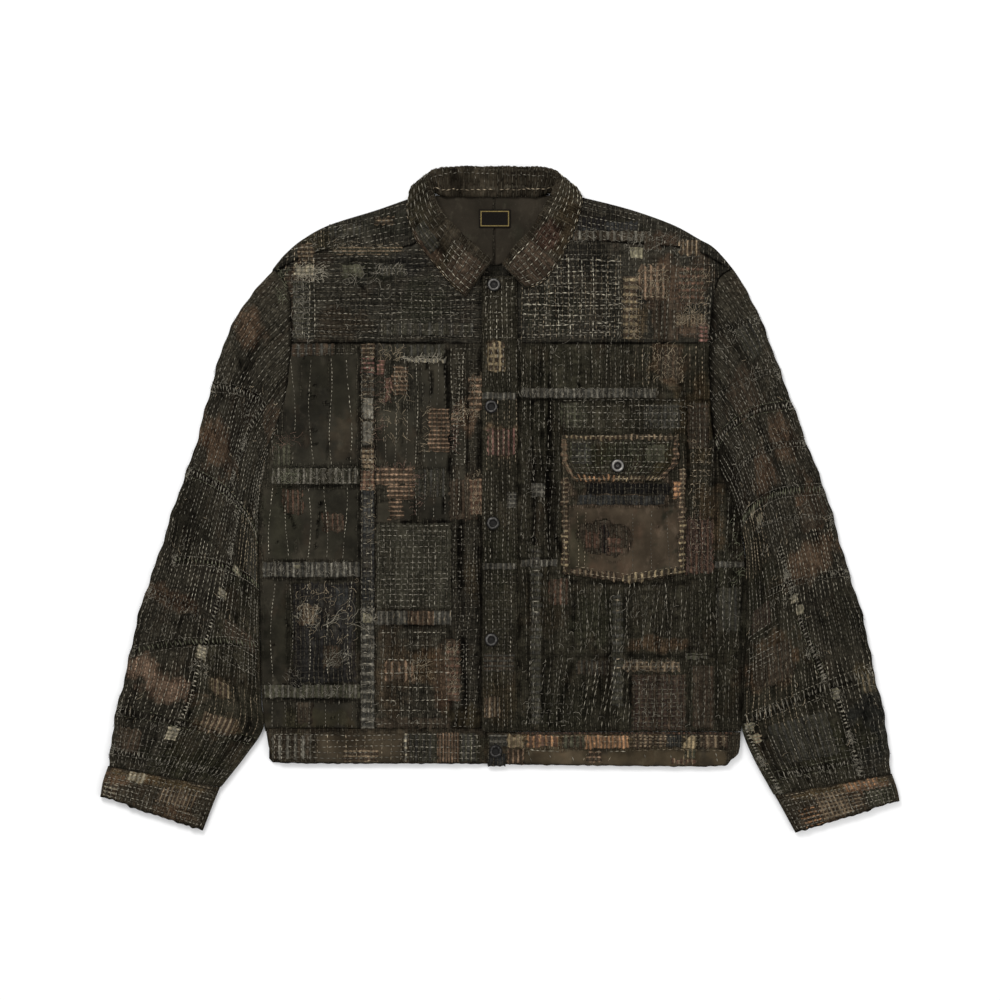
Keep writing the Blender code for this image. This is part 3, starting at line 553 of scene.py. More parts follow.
def ladder(name, surface, table, up=1, seed=1):
    """Seams bound with short cross stitches. Columns of the table: u0, v0, u1, v1 of the middle
    line; length of the cross stitches; their spacing; their thickness; thread; edge thread.
    """
    dice = random.Random(seed)
    laid = []
    for u0, v0, u1, v1, wide, pitch, thick, thread, edge in table:
        long = math.hypot(u1 - u0, v1 - v0)
        du, dv = (u1 - u0) / long, (v1 - v0) / long
        at = pitch / 2
        while at < long:
            tone = dice.uniform(0.25, 1.1)
            tilt = dice.uniform(-0.18, 0.18)
            laid.append((u0 + du * at, v0 + dv * at, -dv + tilt * du, du + tilt * dv,
                         wide * dice.uniform(0.65, 1.1), thick * dice.uniform(0.7, 1.2),
                         *spun(thread, tone)))
            at += pitch * dice.uniform(0.8, 1.2)
        for side in (-0.5, 0.5):
            at = 1.0
            while edge and at < long:
                length = dice.uniform(2.6, 4.4)
                off = side * wide + 0.5 * math.sin(at / 11 + side)
                tone = dice.uniform(0.3, 1.1)
                laid.append((u0 + du * at - dv * off, v0 + dv * at + du * off, du, dv, length,
                             dice.uniform(0.7, 1.0), *spun(edge, tone)))
                at += length + dice.uniform(0.6, 1.8)
    return lay_thread(name, surface, np.array(laid), up)


def scrap_finish():
    """Material of sewn-on scraps: each has its own dye, and bars of another if it is striped."""
    made, skin, scrap = new_finish("cloth_scrap", 0.95)
    cut, sums = scrap.cut(), scrap.sums
    shake = sums("MULTIPLY", scrap.cloud(cut, 300, detail=2, rough=0.7), 0.5)
    place = scrap.node("SeparateXYZ", {0: scrap.read("bar_place", "Vector")}).outputs
    waves = []
    for axis in "XY":
        wave = sums("SINE", sums("MULTIPLY", sums("ADD", place[axis], shake), math.tau))
        striped = sums("GREATER_THAN", sums("ABSOLUTE", place[axis]), 0.0001)
        waves.append(sums("MULTIPLY", striped, wave))
    bars = scrap.ranged(sums("MAXIMUM", *waves), 0.05, 0.65)
    dyed = scrap.mixed(bars, scrap.read("tint"), scrap.read("bar"))
    weave = scrap.node("Group", {
        "Cut": cut, "Ground": dyed, "Faded": scrap.scaled(dyed, 1.35),
        "Stain": (0.030, 0.022, 0.016, 1), "Grid": 0.3}, node_tree=WEAVE_AND_SHADE).outputs
    scrap.join(weave["Colour"], skin["Base Color"])
    height = sums("ADD", sums("MULTIPLY", bars, 0.8), weave["Height"])
    scrap.join(scrap.bumped(height, 0.0014), skin["Normal"])
    return made


SCRAP = scrap_finish()
DYE = {  # colours of the scraps and of their stripes
    "coal": (0.014, 0.013, 0.012), "slate": (0.021, 0.021, 0.02), "grey": (0.038, 0.036, 0.03),
    "ash": (0.12, 0.11, 0.088), "olive": (0.029, 0.027, 0.019), "moss": (0.055, 0.053, 0.035),
    "brown": (0.034, 0.026, 0.018), "umber": (0.044, 0.031, 0.021), "tan": (0.17, 0.126, 0.08),
    "gold": (0.22, 0.17, 0.1), "rust": (0.085, 0.05, 0.034), "orange": (0.188, 0.124, 0.079),
    "clay": (0.3, 0.165, 0.085), "pink": (0.165, 0.088, 0.07), "wine": (0.03, 0.0205, 0.016),
    "cream": (0.33, 0.285, 0.2), "bone": (0.175, 0.158, 0.105), "night": (0.007, 0.0065, 0.006),
}


def sew_on(name, surface, table, up=1, seed=1, step=2.4):
    """Scraps of cloth laid on a surface. Columns of the table: u0, v0, u1, v1; dye; stripe dye;
    stripe spacing along u; along v; raggedness of the edge; rise above the cloth.
    """
    bm = bmesh.new()
    flat = bm.loops.layers.uv.new("cut")
    tint = bm.verts.layers.float_color.new("tint")
    bar = bm.verts.layers.float_color.new("bar")
    bar_place = bm.verts.layers.float_vector.new("bar_place")
    spots = {}
    for number, (u0, v0, u1, v1, dye, stripe, pitch_u, pitch_v, ragged, rise) in enumerate(table):
        across, along = between(u0, u1, step), between(v0, v1, step)
        u, v = np.meshgrid(across, along)
        reach = np.minimum(np.minimum(u - u0, u1 - u), np.minimum(v - v0, v1 - v))
        loose = ragged * np.clip(1 - reach / 4, 0, 1)
        u = u + loose * ripple(u, v, 7, seed + number * 2)
        v = v + loose * ripple(u, v, 7, seed + number * 2 + 1)
        shape = u.shape
        place, _, _, out = frame_at(surface, u.ravel(), v.ravel(), up)
        height = (0.06 + 0.28 * rise) * np.clip(reach.ravel() / 1.5 + 0.6, 0, 1)
        top = (place + out * height[:, None]).reshape(*shape, 3)
        low = (place - out * 0.4).reshape(*shape, 3)
        whole, marks = turned_in(top, low), ringed(np.dstack([u, v]))
        grid = bmesh.ops.create_grid(bm, x_segments=shape[1] + 1, y_segments=shape[0] + 1, size=1)
        for vert, spot, mark in zip(grid["verts"], whole.reshape(-1, 3), marks.reshape(-1, 2)):
            vert.co = spot * MM
            vert[tint] = (*DYE[dye], 1)
            vert[bar] = (*DYE[stripe], 1)
            vert[bar_place] = ((mark[0] - u0 + 0.1) / pitch_u if pitch_u else 0,
                               (mark[1] - v0 + 0.1) / pitch_v if pitch_v else 0, 0)
            spots[vert] = mark
    for face in bm.faces:
        for loop in face.loops:
            loop[flat].uv = spots[loop.vert] * MM
    if up < 0:
        bmesh.ops.reverse_faces(bm, faces=bm.faces)
    mesh = bpy.data.meshes.new(name)
    bm.to_mesh(mesh)
    bm.free()
    return laid_down(name, mesh, SCRAP)


def lying(height):
    """The face of cloth that lies flat: the place of each u and v, at its height."""
    return lambda u, v: np.stack([u, v, height(u, v) + 0 * u], axis=-1)


underside = lying(back_z)
back_rows = running_stitch("back_stitches", underside, [
    (-236, 20, -84, 212, "v", 10, 4.6, 3.6, "grey", 0.8, 0, 1.2),
    (-80, 60, 90, 212, "u", 10, 4.6, 3.6, "grey", 0.8, 0, 1),
    (94, 30, 236, 212, "v", 10, 4.6, 3.6, "dim", 0.8, 0, 1.5),
    (-80, -60, 90, 56, "v", 9, 4.4, 3.4, "pale", 0.8, 0, 1),
    (-266, -130, -84, 14, "u", 11, 4.6, 3.8, "dim", 0.8, 0, 1.4),
    (94, -130, 272, 22, "v", 10, 4.6, 3.6, "grey", 0.8, 0, 1.6),
    (-264, -262, -20, -134, "v", 10, 4.6, 3.6, "grey", 0.8, 0, 1),
    (-16, -262, 130, -64, "u", 10, 4.6, 3.6, "sand", 0.8, 0, 1),
    (134, -262, 270, -134, "v", 10, 4.6, 3.6, "dim", 0.8, 0, 1.2)], up=-1, seed=11)
back_scraps = sew_on("back_scraps", underside, [
    (-200, 90, -140, 150, "umber", "tan", 0, 9, 1.2, 0.35),
    (-60, 130, 10, 180, "brown", "ash", 9, 9, 1, 0.35),
    (120, 60, 190, 130, "slate", "grey", 0, 0, 1.2, 0.35),
    (150, -30, 210, 30, "rust", "orange", 0, 8, 1.4, 0.35),
    (-120, -50, -100, 60, "grey", "ash", 0, 10, 0.8, 0.35),
    (-220, -200, -130, -150, "wine", "rust", 9, 0, 1.2, 0.35),
    (-40, -230, 60, -190, "olive", "moss", 0, 8, 1, 0.35),
    (160, -240, 230, -180, "brown", "umber", 8, 0, 1.3, 0.35)], up=-1, seed=21, step=4)

# ---------------------------------------------------------------------------------------
# Fronts. Two quilted panels from the chest seam to the waistband. The right one runs on
# under the button band; pressed pleats stand beside the opening, and the cloth between
# them is drawn up into small humps by the stitching.
SHOULDER_FOLD = softened([
    (-263, 264.5), (-254.5, 275.5), (-246, 285), (-228, 300), (-197, 317), (-143, 334),
    (-106, 347), (-86, 353), (-40, 357), (30, 357), (72, 353), (103, 347), (153, 334), (200, 317),
    (230, 300.5), (244.5, 292.5), (257.5, 279.5), (268, 266.6)])
FORWARD_SEAM = softened([
    (-262, 262), (-227, 280), (-197, 288), (-143, 288), (-101, 294), (-70, 313), (57, 314),
    (103, 301), (153, 296), (200, 292), (229, 286), (268, 264)])
CHEST_SEAM_Y, FRONT_TOP, UNDERLAP_Z = 181.0, 7.0, 4.4
PLEATS = [  # x, y at the top; x, y at the bottom; half width; height
    (-73, 182, -73, 100, 9, 3), (-61, 182, -60, 105, 7, -1.8), (-55, 45, -55, -122, 9, 3.2),
    (-44, 45, -46, -122, 7, -1.8), (-52, -136, -46, -264, 9, 3), (-33, -148, -32, -264, 7, 2.2),
    (46, 180, 46, -114, 9, 2.6), (57, 180, 56, -114, 6, -1.8), (228, 182, 236, -150, 14, 2.8),
    (-225, 60, -222, -230, 16, 1.6), (-184, 175, -190, -60, 18, 1.2),
    (-125, 262, -108, 186, 30, 2), (110, 266, 88, 186, 30, 1.8)]
FRONT_CREASES = [  # as the pleats
    (-63, 178, -57, 0, 3.5, -1.3), (-36, 130, -38, 12, 3.5, -1.4), (-84, 176, -90, 96, 4, -0.8),
    (-58, -140, -44, -226, 3.5, -1.5), (-45, -220, -52, -270, 3.5, -1.2),
    (-31, -168, -33, -270, 3, -1.2), (56, -18, 76, -74, 4, -1.3), (55, -214, 57, -270, 3.5, -1.2),
    (40, 60, 38, -60, 3.5, -0.9), (252, 262, 243, 150, 5, -1.6), (244, 160, 246, 66, 5, -1.8),
    (60, 172, 110, 96, 6, 0.8), (-238, 170, -196, 120, 7, 0.8), (-232, 130, -180, 100, 5, -0.7),
    (-240, 90, -196, 62, 6, 0.7), (-262, 16, -228, -40, 6, -0.9), (-268, -40, -240, -88, 6, 0.8),
    (-205, 10, -214, -70, 5, -0.7), (-176, -100, -200, -160, 6, -1.1),
    (-196, -92, -176, -140, 5, 0.9), (-228, -96, -232, -200, 7, 0.8),
    (-118, 60, -122, -10, 5, 0.6), (-104, -150, -110, -258, 6, 0.8),
    (-124, -160, -132, -250, 5, -0.7), (-84, -150, -92, -256, 5, -0.7),
    (90, -110, 84, -258, 6, 0.9), (104, -120, 120, -250, 5, -0.8), (140, -110, 128, -196, 6, 0.7),
    (170, -108, 186, -190, 5, -0.8), (210, -96, 222, -250, 7, 0.9), (238, -40, 246, -200, 6, -1),
    (262, -30, 262, -240, 7, 0.8), (200, 170, 216, 92, 6, -0.8), (160, 172, 150, 84, 7, 0.8),
    (96, 170, 84, 90, 5, -0.6), (130, 250, 180, 190, 9, 0.8), (200, 300, 170, 200, 9, 0.9),
    (70, 250, 60, 190, 6, -0.6), (-150, 300, -190, 200, 9, 0.9), (-210, 290, -230, 200, 7, 0.8),
    (-80, 250, -60, 190, 6, 0.7), (-170, 260, -120, 200, 7, -0.6),
    (-256, -190, -210, -250, 7, 0.8), (-250, -130, -226, -180, 5, -0.8),
    (20, -130, 74, -200, 6, 0.7), (30, -200, 60, -250, 5, -0.7)]
SEAMS_ACROSS = [  # where panels and long strips meet: x, y; x, y; half width; depth
    (-242, CHEST_SEAM_Y, -20, CHEST_SEAM_Y, 3, -1.2),
    (20, CHEST_SEAM_Y, 242, CHEST_SEAM_Y, 3, -1.2), (-242, 165, -162, 165, 2.5, -0.7),
    (-262, 38, -162, 36, 2.5, -0.7), (-142, 36, -60, 38, 2.5, -0.7),
    (-268, 17, -162, 17, 2.5, -0.7), (-142, -24, -24, -26, 2.5, -0.8),
    (-274, -70, -162, -69, 2.5, -0.8), (-274, -89, -162, -90, 2.5, -0.8),
    (-142, -126, -56, -126, 2.5, -0.8), (-142, -144, -56, -144, 2.5, -0.8),
    (-272, -211, -162, -211, 2.5, -0.8), (-272, -228, -162, -228, 2.5, -0.8),
    (20, 122, 240, 126, 2.5, -0.8), (22, -74, 70, -74, 2.5, -0.8), (214, -74, 282, -72, 2.5, -0.8),
    (84, -178, 280, -178, 2.5, -0.8), (148, -110, 150, -264, 2.5, -0.7),
    (216, 120, 216, -70, 2.5, -0.7), (-161, 178, -161, -262, 2, -0.7),
    (-143, 178, -143, -262, 2, -0.7), (84, -80, 86, -264, 2, -0.6)]


def front_z(x, y):
    """Height of the jacket's upper face."""
    high = FRONT_TOP + crease(x, y, PLEATS) + crease(x, y, FRONT_CREASES)
    high = high + crease(x, y, SEAMS_ACROSS)
    high = high + 0.42 * ripple(x, y, 34, 5) + 0.26 * ripple(x, y, 14, 6)
    inset = np.minimum(x - side_x("right", y), side_x("left", y) - x)
    fold = on_line(x, SHOULDER_FOLD) - y
    seam = np.abs(on_line(x, FORWARD_SEAM) - y)
    high = high - 0.9 * np.clip(1 - seam / 3, 0, 1)
    turn = np.where(y < ARMPIT_Y, np.minimum(inset, fold), fold)
    drop = EDGE_R - rounded(turn, EDGE_R)
    armhole = np.where(y >= ARMPIT_Y, np.clip(1 - inset / 4, 0, 1), 0)
    return np.maximum(high - drop - armhole, 3.4)


upper_face = lying(front_z)


def hollow(height, x, y, reach=4.5):
    """How far each point lies below its neighbours, as painted shade: 1 in the sharpest creases."""
    around = sum(height(x + dx, y + dy) for dx, dy in
                 ((reach, 0), (-reach, 0), (0, reach), (0, -reach))) / 4
    return np.clip((around - height(x, y) - 0.13) / 0.38, 0, 1)


def front_grid(low, high, start, end, step=2.4):
    """Rows of places on a front between two levels; its start and end follow each level."""
    levels = between(low, high, step)
    share = np.linspace(0, 1, round(abs(float(end(-20)) - float(start(-20))) / step))
    left, right = start(levels)[:, None], end(levels)[:, None]
    x = left + (right - left) * share
    return x, np.repeat(levels[:, None], len(share), axis=1)


def turned_side(x, y, side):
    """The places at a side seam, drawn closer together so that the turn is round."""
    edge = side_x(side, y[:, 0])[:, None]
    close = edge - OUTWARD[side] * SIDE_TURN
    if side == "left":
        return np.hstack([x, close[:, ::-1]]), np.hstack([y, np.repeat(y[:, :1], 5, axis=1)])
    return np.hstack([close, x]), np.hstack([np.repeat(y[:, :1], 5, axis=1), y])


def right_front_z(x, y):
    """The right front dips where it runs on under the button band."""
    dive = np.clip((x + 26) / 6, 0, 1)
    return front_z(x, y) * (1 - dive) + UNDERLAP_Z * dive


RIGHT_SHADE_LINES = [  # painted shade along the seams: x, y at each end; half width; depth of shade
    (-162, 180, -162, -264, 1.6, 0.9), (-143, 180, -143, -264, 1.6, 0.9),
    (-80, 178, -79, 140, 2.6, 1), (-58, 178, -56, -264, 2.4, 1), (-37, 140, -38, 24, 2, 0.9),
    (-262, 15, -162, 16, 2.2, 1), (-272, -90, -162, -91, 2.2, 1),
    (-270, -229, -162, -230, 2.2, 0.9), (-44, -30, -43, -264, 3, 0.9),
    (-100, 40, -98, -24, 1.8, 0.8), (-143, -26, -58, -25, 1.8, 0.9),
    (-143, -145, -58, -146, 2.2, 0.9), (-230, 160, -226, 60, 2.4, 0.4),
    (-196, 168, -198, 44, 2.2, 0.5), (-240, -4, -234, -64, 2, 0.5),
    (-24, 178, -23, -264, 2.4, 0.9), (-116, 150, -112, 60, 1.6, 0.5)]
LEFT_SHADE_LINES = [
    (47, 178, 47, 20, 2.4, 1), (22, 178, 23, -264, 2.4, 0.9), (24, 116, 244, 115, 2, 1),
    (18, 120, 19, 0, 3, 0.7), (33, -48, 33, -262, 1.8, 0.8), (49, -48, 49, -262, 2.2, 0.8),
    (127, -108, 127, -238, 2, 0.8), (143, -108, 143, -238, 2.2, 0.9), (66, -94, 216, -96, 3, 0.9),
    (24, -178, 246, -180, 2, 0.7), (246, 120, 250, -264, 2.2, 0.9), (216, 112, 218, -264, 2, 0.8),
    (84, -182, 64, -262, 3, 0.9), (152, -200, 148, -262, 2.4, 0.9), (24, -66, 70, -67, 1.8, 0.9),
    (62, 60, 60, -80, 3.4, 0.8), (104, 176, 105, 134, 2, 0.7), (176, 176, 175, 134, 2, 0.6),
    (262, 40, 266, -120, 3, 0.8), (86, -100, 84, -176, 2.4, 0.7), (190, -100, 194, -176, 2, 0.6),
    (256, 40, 279, -60, 4, 0.9), (280, -60, 276, -252, 3, 0.9)]
RIGHT_PLAIN = [  # stretches left smooth: x, y of two corners
    (-250, 40, -162, 170), (-275, -70, -162, 16), (-276, -212, -244, -88), (-234, -122, -198, -92),
    (-274, -262, -244, -228), (-142, 40, -96, 106), (-92, 36, -58, 158), (-96, -24, -56, 30),
    (-146, -30, -100, 0), (-230, -262, -163, -230), (-50, 20, -40, 90)]
x, y = front_grid(-261.7, 180.8, lambda v: side_x("right", v) + 5.6, lambda v: 0 * v - 10)
x, y = turned_side(x, y, "right")
# Painted shade in the hollows and along the seams, with some stretches left plain.
front_right = cut_cloth(
    "front_right_cloth", np.dstack([x, y, right_front_z(x, y)]), np.dstack([x, y]), CHARCOAL,
    shade_and_plain=grooved(smoothed(hollow(front_z, x, y), x, y, RIGHT_PLAIN), x, y, RIGHT_SHADE_LINES),
    tint=stained(x, y, [
        (-200, 120, 40, 60, (0.72, 0.74, 0.72)), (-190, 70, 30, 26, (1.06, 0.98, 0.94)),
        (-216, 60, 26, 60, (0.8, 0.82, 0.84)), (-180, -20, 34, 60, (0.74, 0.76, 0.76)),
        (-250, -20, 20, 60, (0.85, 0.9, 0.85)), (-236, -150, 40, 50, (0.62, 0.64, 0.62)),
        (-180, -150, 30, 40, (0.75, 0.78, 0.75)), (-214, -252, 50, 12, (1.1, 1.1, 0.95)),
        (-110, 120, 36, 46, (0.95, 0.97, 0.98)), (-96, -74, 40, 50, (0.85, 0.86, 0.82)),
        (-70, 30, 18, 60, (0.7, 0.72, 0.74)), (-126, -200, 18, 60, (1.46, 1.26, 1.15)),
        (-90, -190, 26, 20, (1.73, 1.38, 1.15)), (-62, -206, 14, 34, (1.94, 1.49, 1.34)),
        (-36, 96, 12, 20, (2.81, 2.16, 1.94)), (-34, 2, 12, 20, (2.59, 1.99, 1.79)),
        (-32, -90, 10, 30, (1.1, 1, 0.9)), (-40, -250, 20, 16, (1.2, 1.1, 0.9))]))
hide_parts("front_right")
right_rows = running_stitch("front_right_stitches", upper_face, [
    (-241, 168, -164, 180, "u", 6, 3.4, 2.4, "dim", 0.9, 0, 0.6),
    (-252, 40, -162, 164, "v", 22, 3, 1.6, "pale", 0.9, -0.02, 2.2),
    (-262, 40, -244, 106, "v", 8, 3.6, 3, "grey", 0.9, -0.12, 1.5),
    (-141, 40, -92, 158, "v", 11.4, 2.8, 1.4, "pale", 0.95, 0, 1.2),
    (-92, 104, -58, 176, "v", 8.2, 3, 3.6, "dim", 0.9, 0, 1.4),
    (-92, 40, -58, 60, "v", 8.2, 3, 2.6, "grey", 0.9, 0, 1.4),
    (-58, 40, -38, 176, "v", 6.2, 3.2, 2, "pale", 0.95, 0, 1.6),
    (-56, 40, -38, 176, "u", 5.4, 3, 2.8, "grey", 0.9, 0, 0.8),
    (-38, 40, -24, 178, "u", 5.8, 3, 2.8, "dim", 0.9, 0, 0.6),
    (-262, 22, -163, 36, "v", 8.4, 6.2, 1.2, "grey", 1.1, 0, 0.4),
    (-262, 19.5, -163, 21, "u", 1.4, 3.6, 1.4, "grey", 0.9, 0, 0.3),
    (-274, -68, -163, 16, "v", 22, 2.8, 1.5, "pale", 0.9, 0, 2.6),
    (-100, -20, -62, 34, "v", 11, 2.8, 2, "grey", 0.9, 0, 1),
    (-58, -22, -42, 36, "v", 6.4, 3.2, 2, "pale", 0.95, 0, 1.4),
    (-42, -22, -24, 36, "v", 7.2, 3.6, 2.6, "sand", 0.95, 0, 1),
    (-56, -126, -24, -28, "v", 7, 3.2, 2.4, "grey", 0.95, 0, 1.8),
    (-56, -126, -24, -28, "u", 7, 3, 3.6, "dim", 0.9, 0, 1),
    (-274, -88, -163, -71, "v", 8.6, 6.6, 1.4, "grey", 1, 0, 0.3),
    (-276, -210, -163, -92, "v", 21, 2.8, 1.5, "pale", 0.9, 0.02, 2.4),
    (-272, -226, -163, -213, "v", 8.4, 5.6, 1.4, "grey", 1, 0, 0.3),
    (-272, -262, -163, -230, "v", 15, 3, 2, "grey", 0.9, 0, 1.2),
    (-143, -143, -57, -127, "v", 6.2, 6, 1.8, "sand", 1, 0, 0.3),
    (-143, -262, -57, -145, "u", 14.5, 4.2, 1.4, "pale", 1, 0, 0.9),
    (-143, -262, -57, -145, "v", 10, 4, 1.6, "grey", 1, 0, 0.9),
    (-56, -262, -24, -128, "v", 6.4, 3.4, 2, "grey", 0.95, 0.06, 2),
    (-56, -262, -24, -128, "u", 8, 3.2, 3, "dim", 0.95, 0, 1)], seed=31)

x, y = front_grid(WAIST_Y, 180.8, lambda v: 0 * v - 20, lambda v: side_x("left", v) - 5.6)
x, y = turned_side(x, y, "left")
# Painted shade in the hollows and along the seams.
front_left = cut_cloth(
    "front_left_cloth", np.dstack([x, y, front_z(x, y)]), np.dstack([x, y]), OLIVE,
    shade_and_plain=grooved(hollow(front_z, x, y), x, y, LEFT_SHADE_LINES), tint=stained(x, y, [
        (193, 158, 20, 26, (2.05, 1.58, 1.41)), (70, 150, 40, 26, (0.9, 0.92, 0.9)),
        (60, 92, 26, 30, (0.8, 0.82, 0.8)), (226, 96, 22, 50, (1.15, 1, 0.85)),
        (50, 0, 22, 60, (0.75, 0.75, 0.75)), (48, -120, 24, 34, (0.9, 0.85, 0.8)),
        (60, -240, 34, 22, (0.62, 0.65, 0.62)), (110, -140, 30, 30, (0.85, 0.9, 0.85)),
        (252, -120, 26, 60, (0.85, 0.88, 0.85)), (242, -20, 16, 40, (1.62, 1.32, 1.15)),
        (118, -216, 22, 34, (0.7, 0.7, 0.68)), (180, -166, 34, 9, (1.84, 1.42, 1.27)),
        (254, -216, 20, 34, (1, 0.9, 0.8)), (84, -240, 28, 26, (0.8, 0.82, 0.8)),
        (250, -190, 22, 60, (0.86, 0.86, 0.84))]))
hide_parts("front_left")
left_rows = running_stitch("front_left_stitches", upper_face, [
    (24, 130, 150, 180, "v", 8, 3.6, 2.6, "grey", 1, 0, 1),
    (150, 130, 240, 180, "v", 7.4, 3.6, 2.6, "sand", 0.95, 0.03, 1),
    (24, 118, 180, 130, "v", 6.6, 7, 1.6, "pale", 1, 0, 0.3),
    (180, 118, 240, 130, "v", 7, 6, 1.8, "grey", 1, 0, 0.3),
    (24, 78, 70, 116, "v", 7.6, 3.4, 2.8, "grey", 1, 0, 1.2),
    (72, 80, 214, 116, "u", 7.6, 3.8, 2.6, "grey", 1, 0, 0.6),
    (72, 80, 214, 116, "v", 9, 3.2, 3.2, "grey", 0.95, 0, 0.8),
    (24, -72, 68, 76, "v", 6.8, 4.6, 2, "grey", 0.85, 0, 2.4),
    (24, 10, 68, 60, "u", 9, 3, 3.4, "dim", 0.95, 0, 0.9),
    (216, -70, 244, 116, "v", 7, 3.6, 2.4, "grey", 1, 0.02, 1.2),
    (216, -70, 244, 60, "u", 8, 3.6, 2.4, "sand", 0.95, 0, 0.8),
    (244, -70, 272, 20, "v", 7.4, 3.6, 2.6, "grey", 1, 0.1, 1),
    (24, -176, 82, -76, "v", 6.8, 5, 1.6, "grey", 0.8, 0, 2.4),
    (86, -176, 216, -92, "v", 6.4, 5.4, 1.2, "grey", 0.8, 0.03, 3),
    (216, -176, 278, -76, "v", 7, 4.6, 1.8, "grey", 0.85, 0.03, 2.2),
    (24, -262, 84, -180, "v", 7, 4.8, 1.6, "grey", 0.85, 0.1, 2),
    (24, -262, 84, -220, "u", 11, 3.6, 2.6, "dim", 1, 0, 1.2),
    (88, -262, 148, -180, "v", 6.6, 5.4, 1.2, "pale", 0.85, 0.16, 2.2),
    (216, -262, 276, -182, "v", 7.4, 4.4, 2, "grey", 0.85, 0, 1.8)], seed=32)

# ---------------------------------------------------------------------------------------
# Front yokes. Dark cloth worked close with rows across, from the chest seam to the forward
# shoulder seam and the neckline, where the collar covers their edge.
NECKLINE = {
    "right": softened([(-78, 331), (-67, 313), (-54, 298), (-34, 282), (-14, 268), (14, 262)]),
    "left": softened([(62, 333), (54, 316), (42, 300), (24, 285), (9, 270), (-24, 262)]),
}


def yoke_top(side, x):
    """Upper edge of a front yoke at each x: the forward seam, then the neckline."""
    line = NECKLINE[side]
    neck = on_line(x, line[np.argsort(line[:, 0])])
    return np.minimum(on_line(x, FORWARD_SEAM) - 0.3, neck)


def yoke_piece(side):
    """Places over a front yoke, from the chest seam up, with the head of the side drawn out."""
    edge = side_x(side, CHEST_SEAM_Y)
    sign = OUTWARD[side]
    share = np.concatenate([np.linspace(0, 0.1, 12), np.linspace(0.11, 1, 106)])
    level = np.linspace(0, 1, 60)[:, None]
    across = sign * 13 + (edge - sign * 13) * share
    if side == "right":
        across = across[::-1]
    stretch = np.clip((np.abs(across) - 205) / 40, 0, 1)
    top = yoke_top(side, across + sign * stretch * 24)
    y = CHEST_SEAM_Y + 0.3 + (top - CHEST_SEAM_Y - 0.3) * level
    bulge = side_x(side, y) - edge
    x = across + bulge * stretch - sign * 0.4 * stretch
    if side == "right":
        x = np.where(across > -22, across, x)
        return x, y, np.where(x > -24, UNDERLAP_Z, front_z(x, y))
    return x, y, front_z(x, y)


for side, stains in (
    ("right", [
        (-90, 225, 26, 30, (0.8, 0.85, 0.8)), (-230, 240, 14, 40, (1.62, 1.32, 1.22)),
        (-150, 262, 26, 14, (0.62, 0.66, 0.62)), (-185, 205, 30, 20, (1, 0.9, 0.85)),
        (-110, 270, 24, 12, (0.7, 0.72, 0.8))]),
    ("left", [
        (193, 236, 20, 44, (2.05, 1.58, 1.41)), (215, 200, 20, 12, (2.59, 1.99, 1.79)),
        (110, 268, 26, 12, (0.55, 0.58, 0.6)), (60, 216, 30, 26, (0.95, 1, 0.95)),
        (160, 205, 10, 22, (2.05, 1.72, 1.41)), (232, 262, 16, 26, (1.62, 1.38, 1.28))])):
    x, y, z = yoke_piece(side)
    # Painted shade in the hollows of each yoke.
    yoke = cut_cloth(f"front_yoke_{side}_cloth", np.dstack([x, y, z]),
                     np.dstack([y, x] if side == "right" else [x, y]), SLATE,
                     shade_and_plain=hollow(front_z, x, y), tint=stained(x, y, stains))
    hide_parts(f"front_yoke_{side}")


def inside_yoke(u, v):
    """Whether a stitch falls within the front yokes."""
    top = np.where(u < -4, yoke_top("right", u), yoke_top("left", u))
    inset = np.minimum(u - side_x("right", v), side_x("left", v) - u)
    return (v < top - 1.5) & (inset > 2)


yoke_rows = running_stitch("front_yoke_stitches", upper_face, [
    (-252, 184, -24, 288, "u", 7.2, 4.2, 2.2, "grey", 1.05, 0, 1.2),
    (-232, 184, -212, 284, "v", 7, 3.8, 2.4, "pale", 1.05, 0, 0.8),
    (-140, 184, -24, 240, "v", 12, 3, 3.6, "grey", 0.95, 0, 0.8),
    (-256, 250, -212, 284, "v", 8, 4.4, 2.6, "sand", 1, 0.1, 1),
    (24, 184, 142, 284, "u", 12.4, 5, 1.2, "pale", 1.5, 0, 1.4),
    (24, 184, 142, 284, "v", 13.4, 4.6, 1.2, "pale", 1.4, 0, 1),
    (24, 184, 142, 284, "u", 6.2, 3.4, 2, "grey", 1, 0, 1.4),
    (24, 184, 142, 284, "v", 6.7, 3.4, 2.6, "sand", 0.9, 0, 1),
    (142, 184, 250, 294, "v", 7.8, 3.6, 2.6, "grey", 1, 0.03, 1.4),
    (160, 230, 196, 276, "u", 6, 3.6, 2.4, "sand", 1, 0, 0.8),
    (196, 184, 250, 294, "u", 9, 3.4, 3, "dim", 1, 0.05, 1)], seed=33, within=inside_yoke)

# ---------------------------------------------------------------------------------------
# Back yoke. Cut in one from the back yoke seam up and over both shoulder folds to the
# forward seams, with the neck cut out; the neckline edge is held in the collar seam.
NECK_RIGHT, NECK_LEFT = -84, 70


def cut_away(piece, gone):
    """Takes out of a finished piece the points for which gone is true."""
    bm = bmesh.new()
    bm.from_mesh(piece.data)
    bmesh.ops.delete(bm, geom=[vert for vert in bm.verts if gone(vert)], context="VERTS")
    bm.to_mesh(piece.data)
    bm.free()


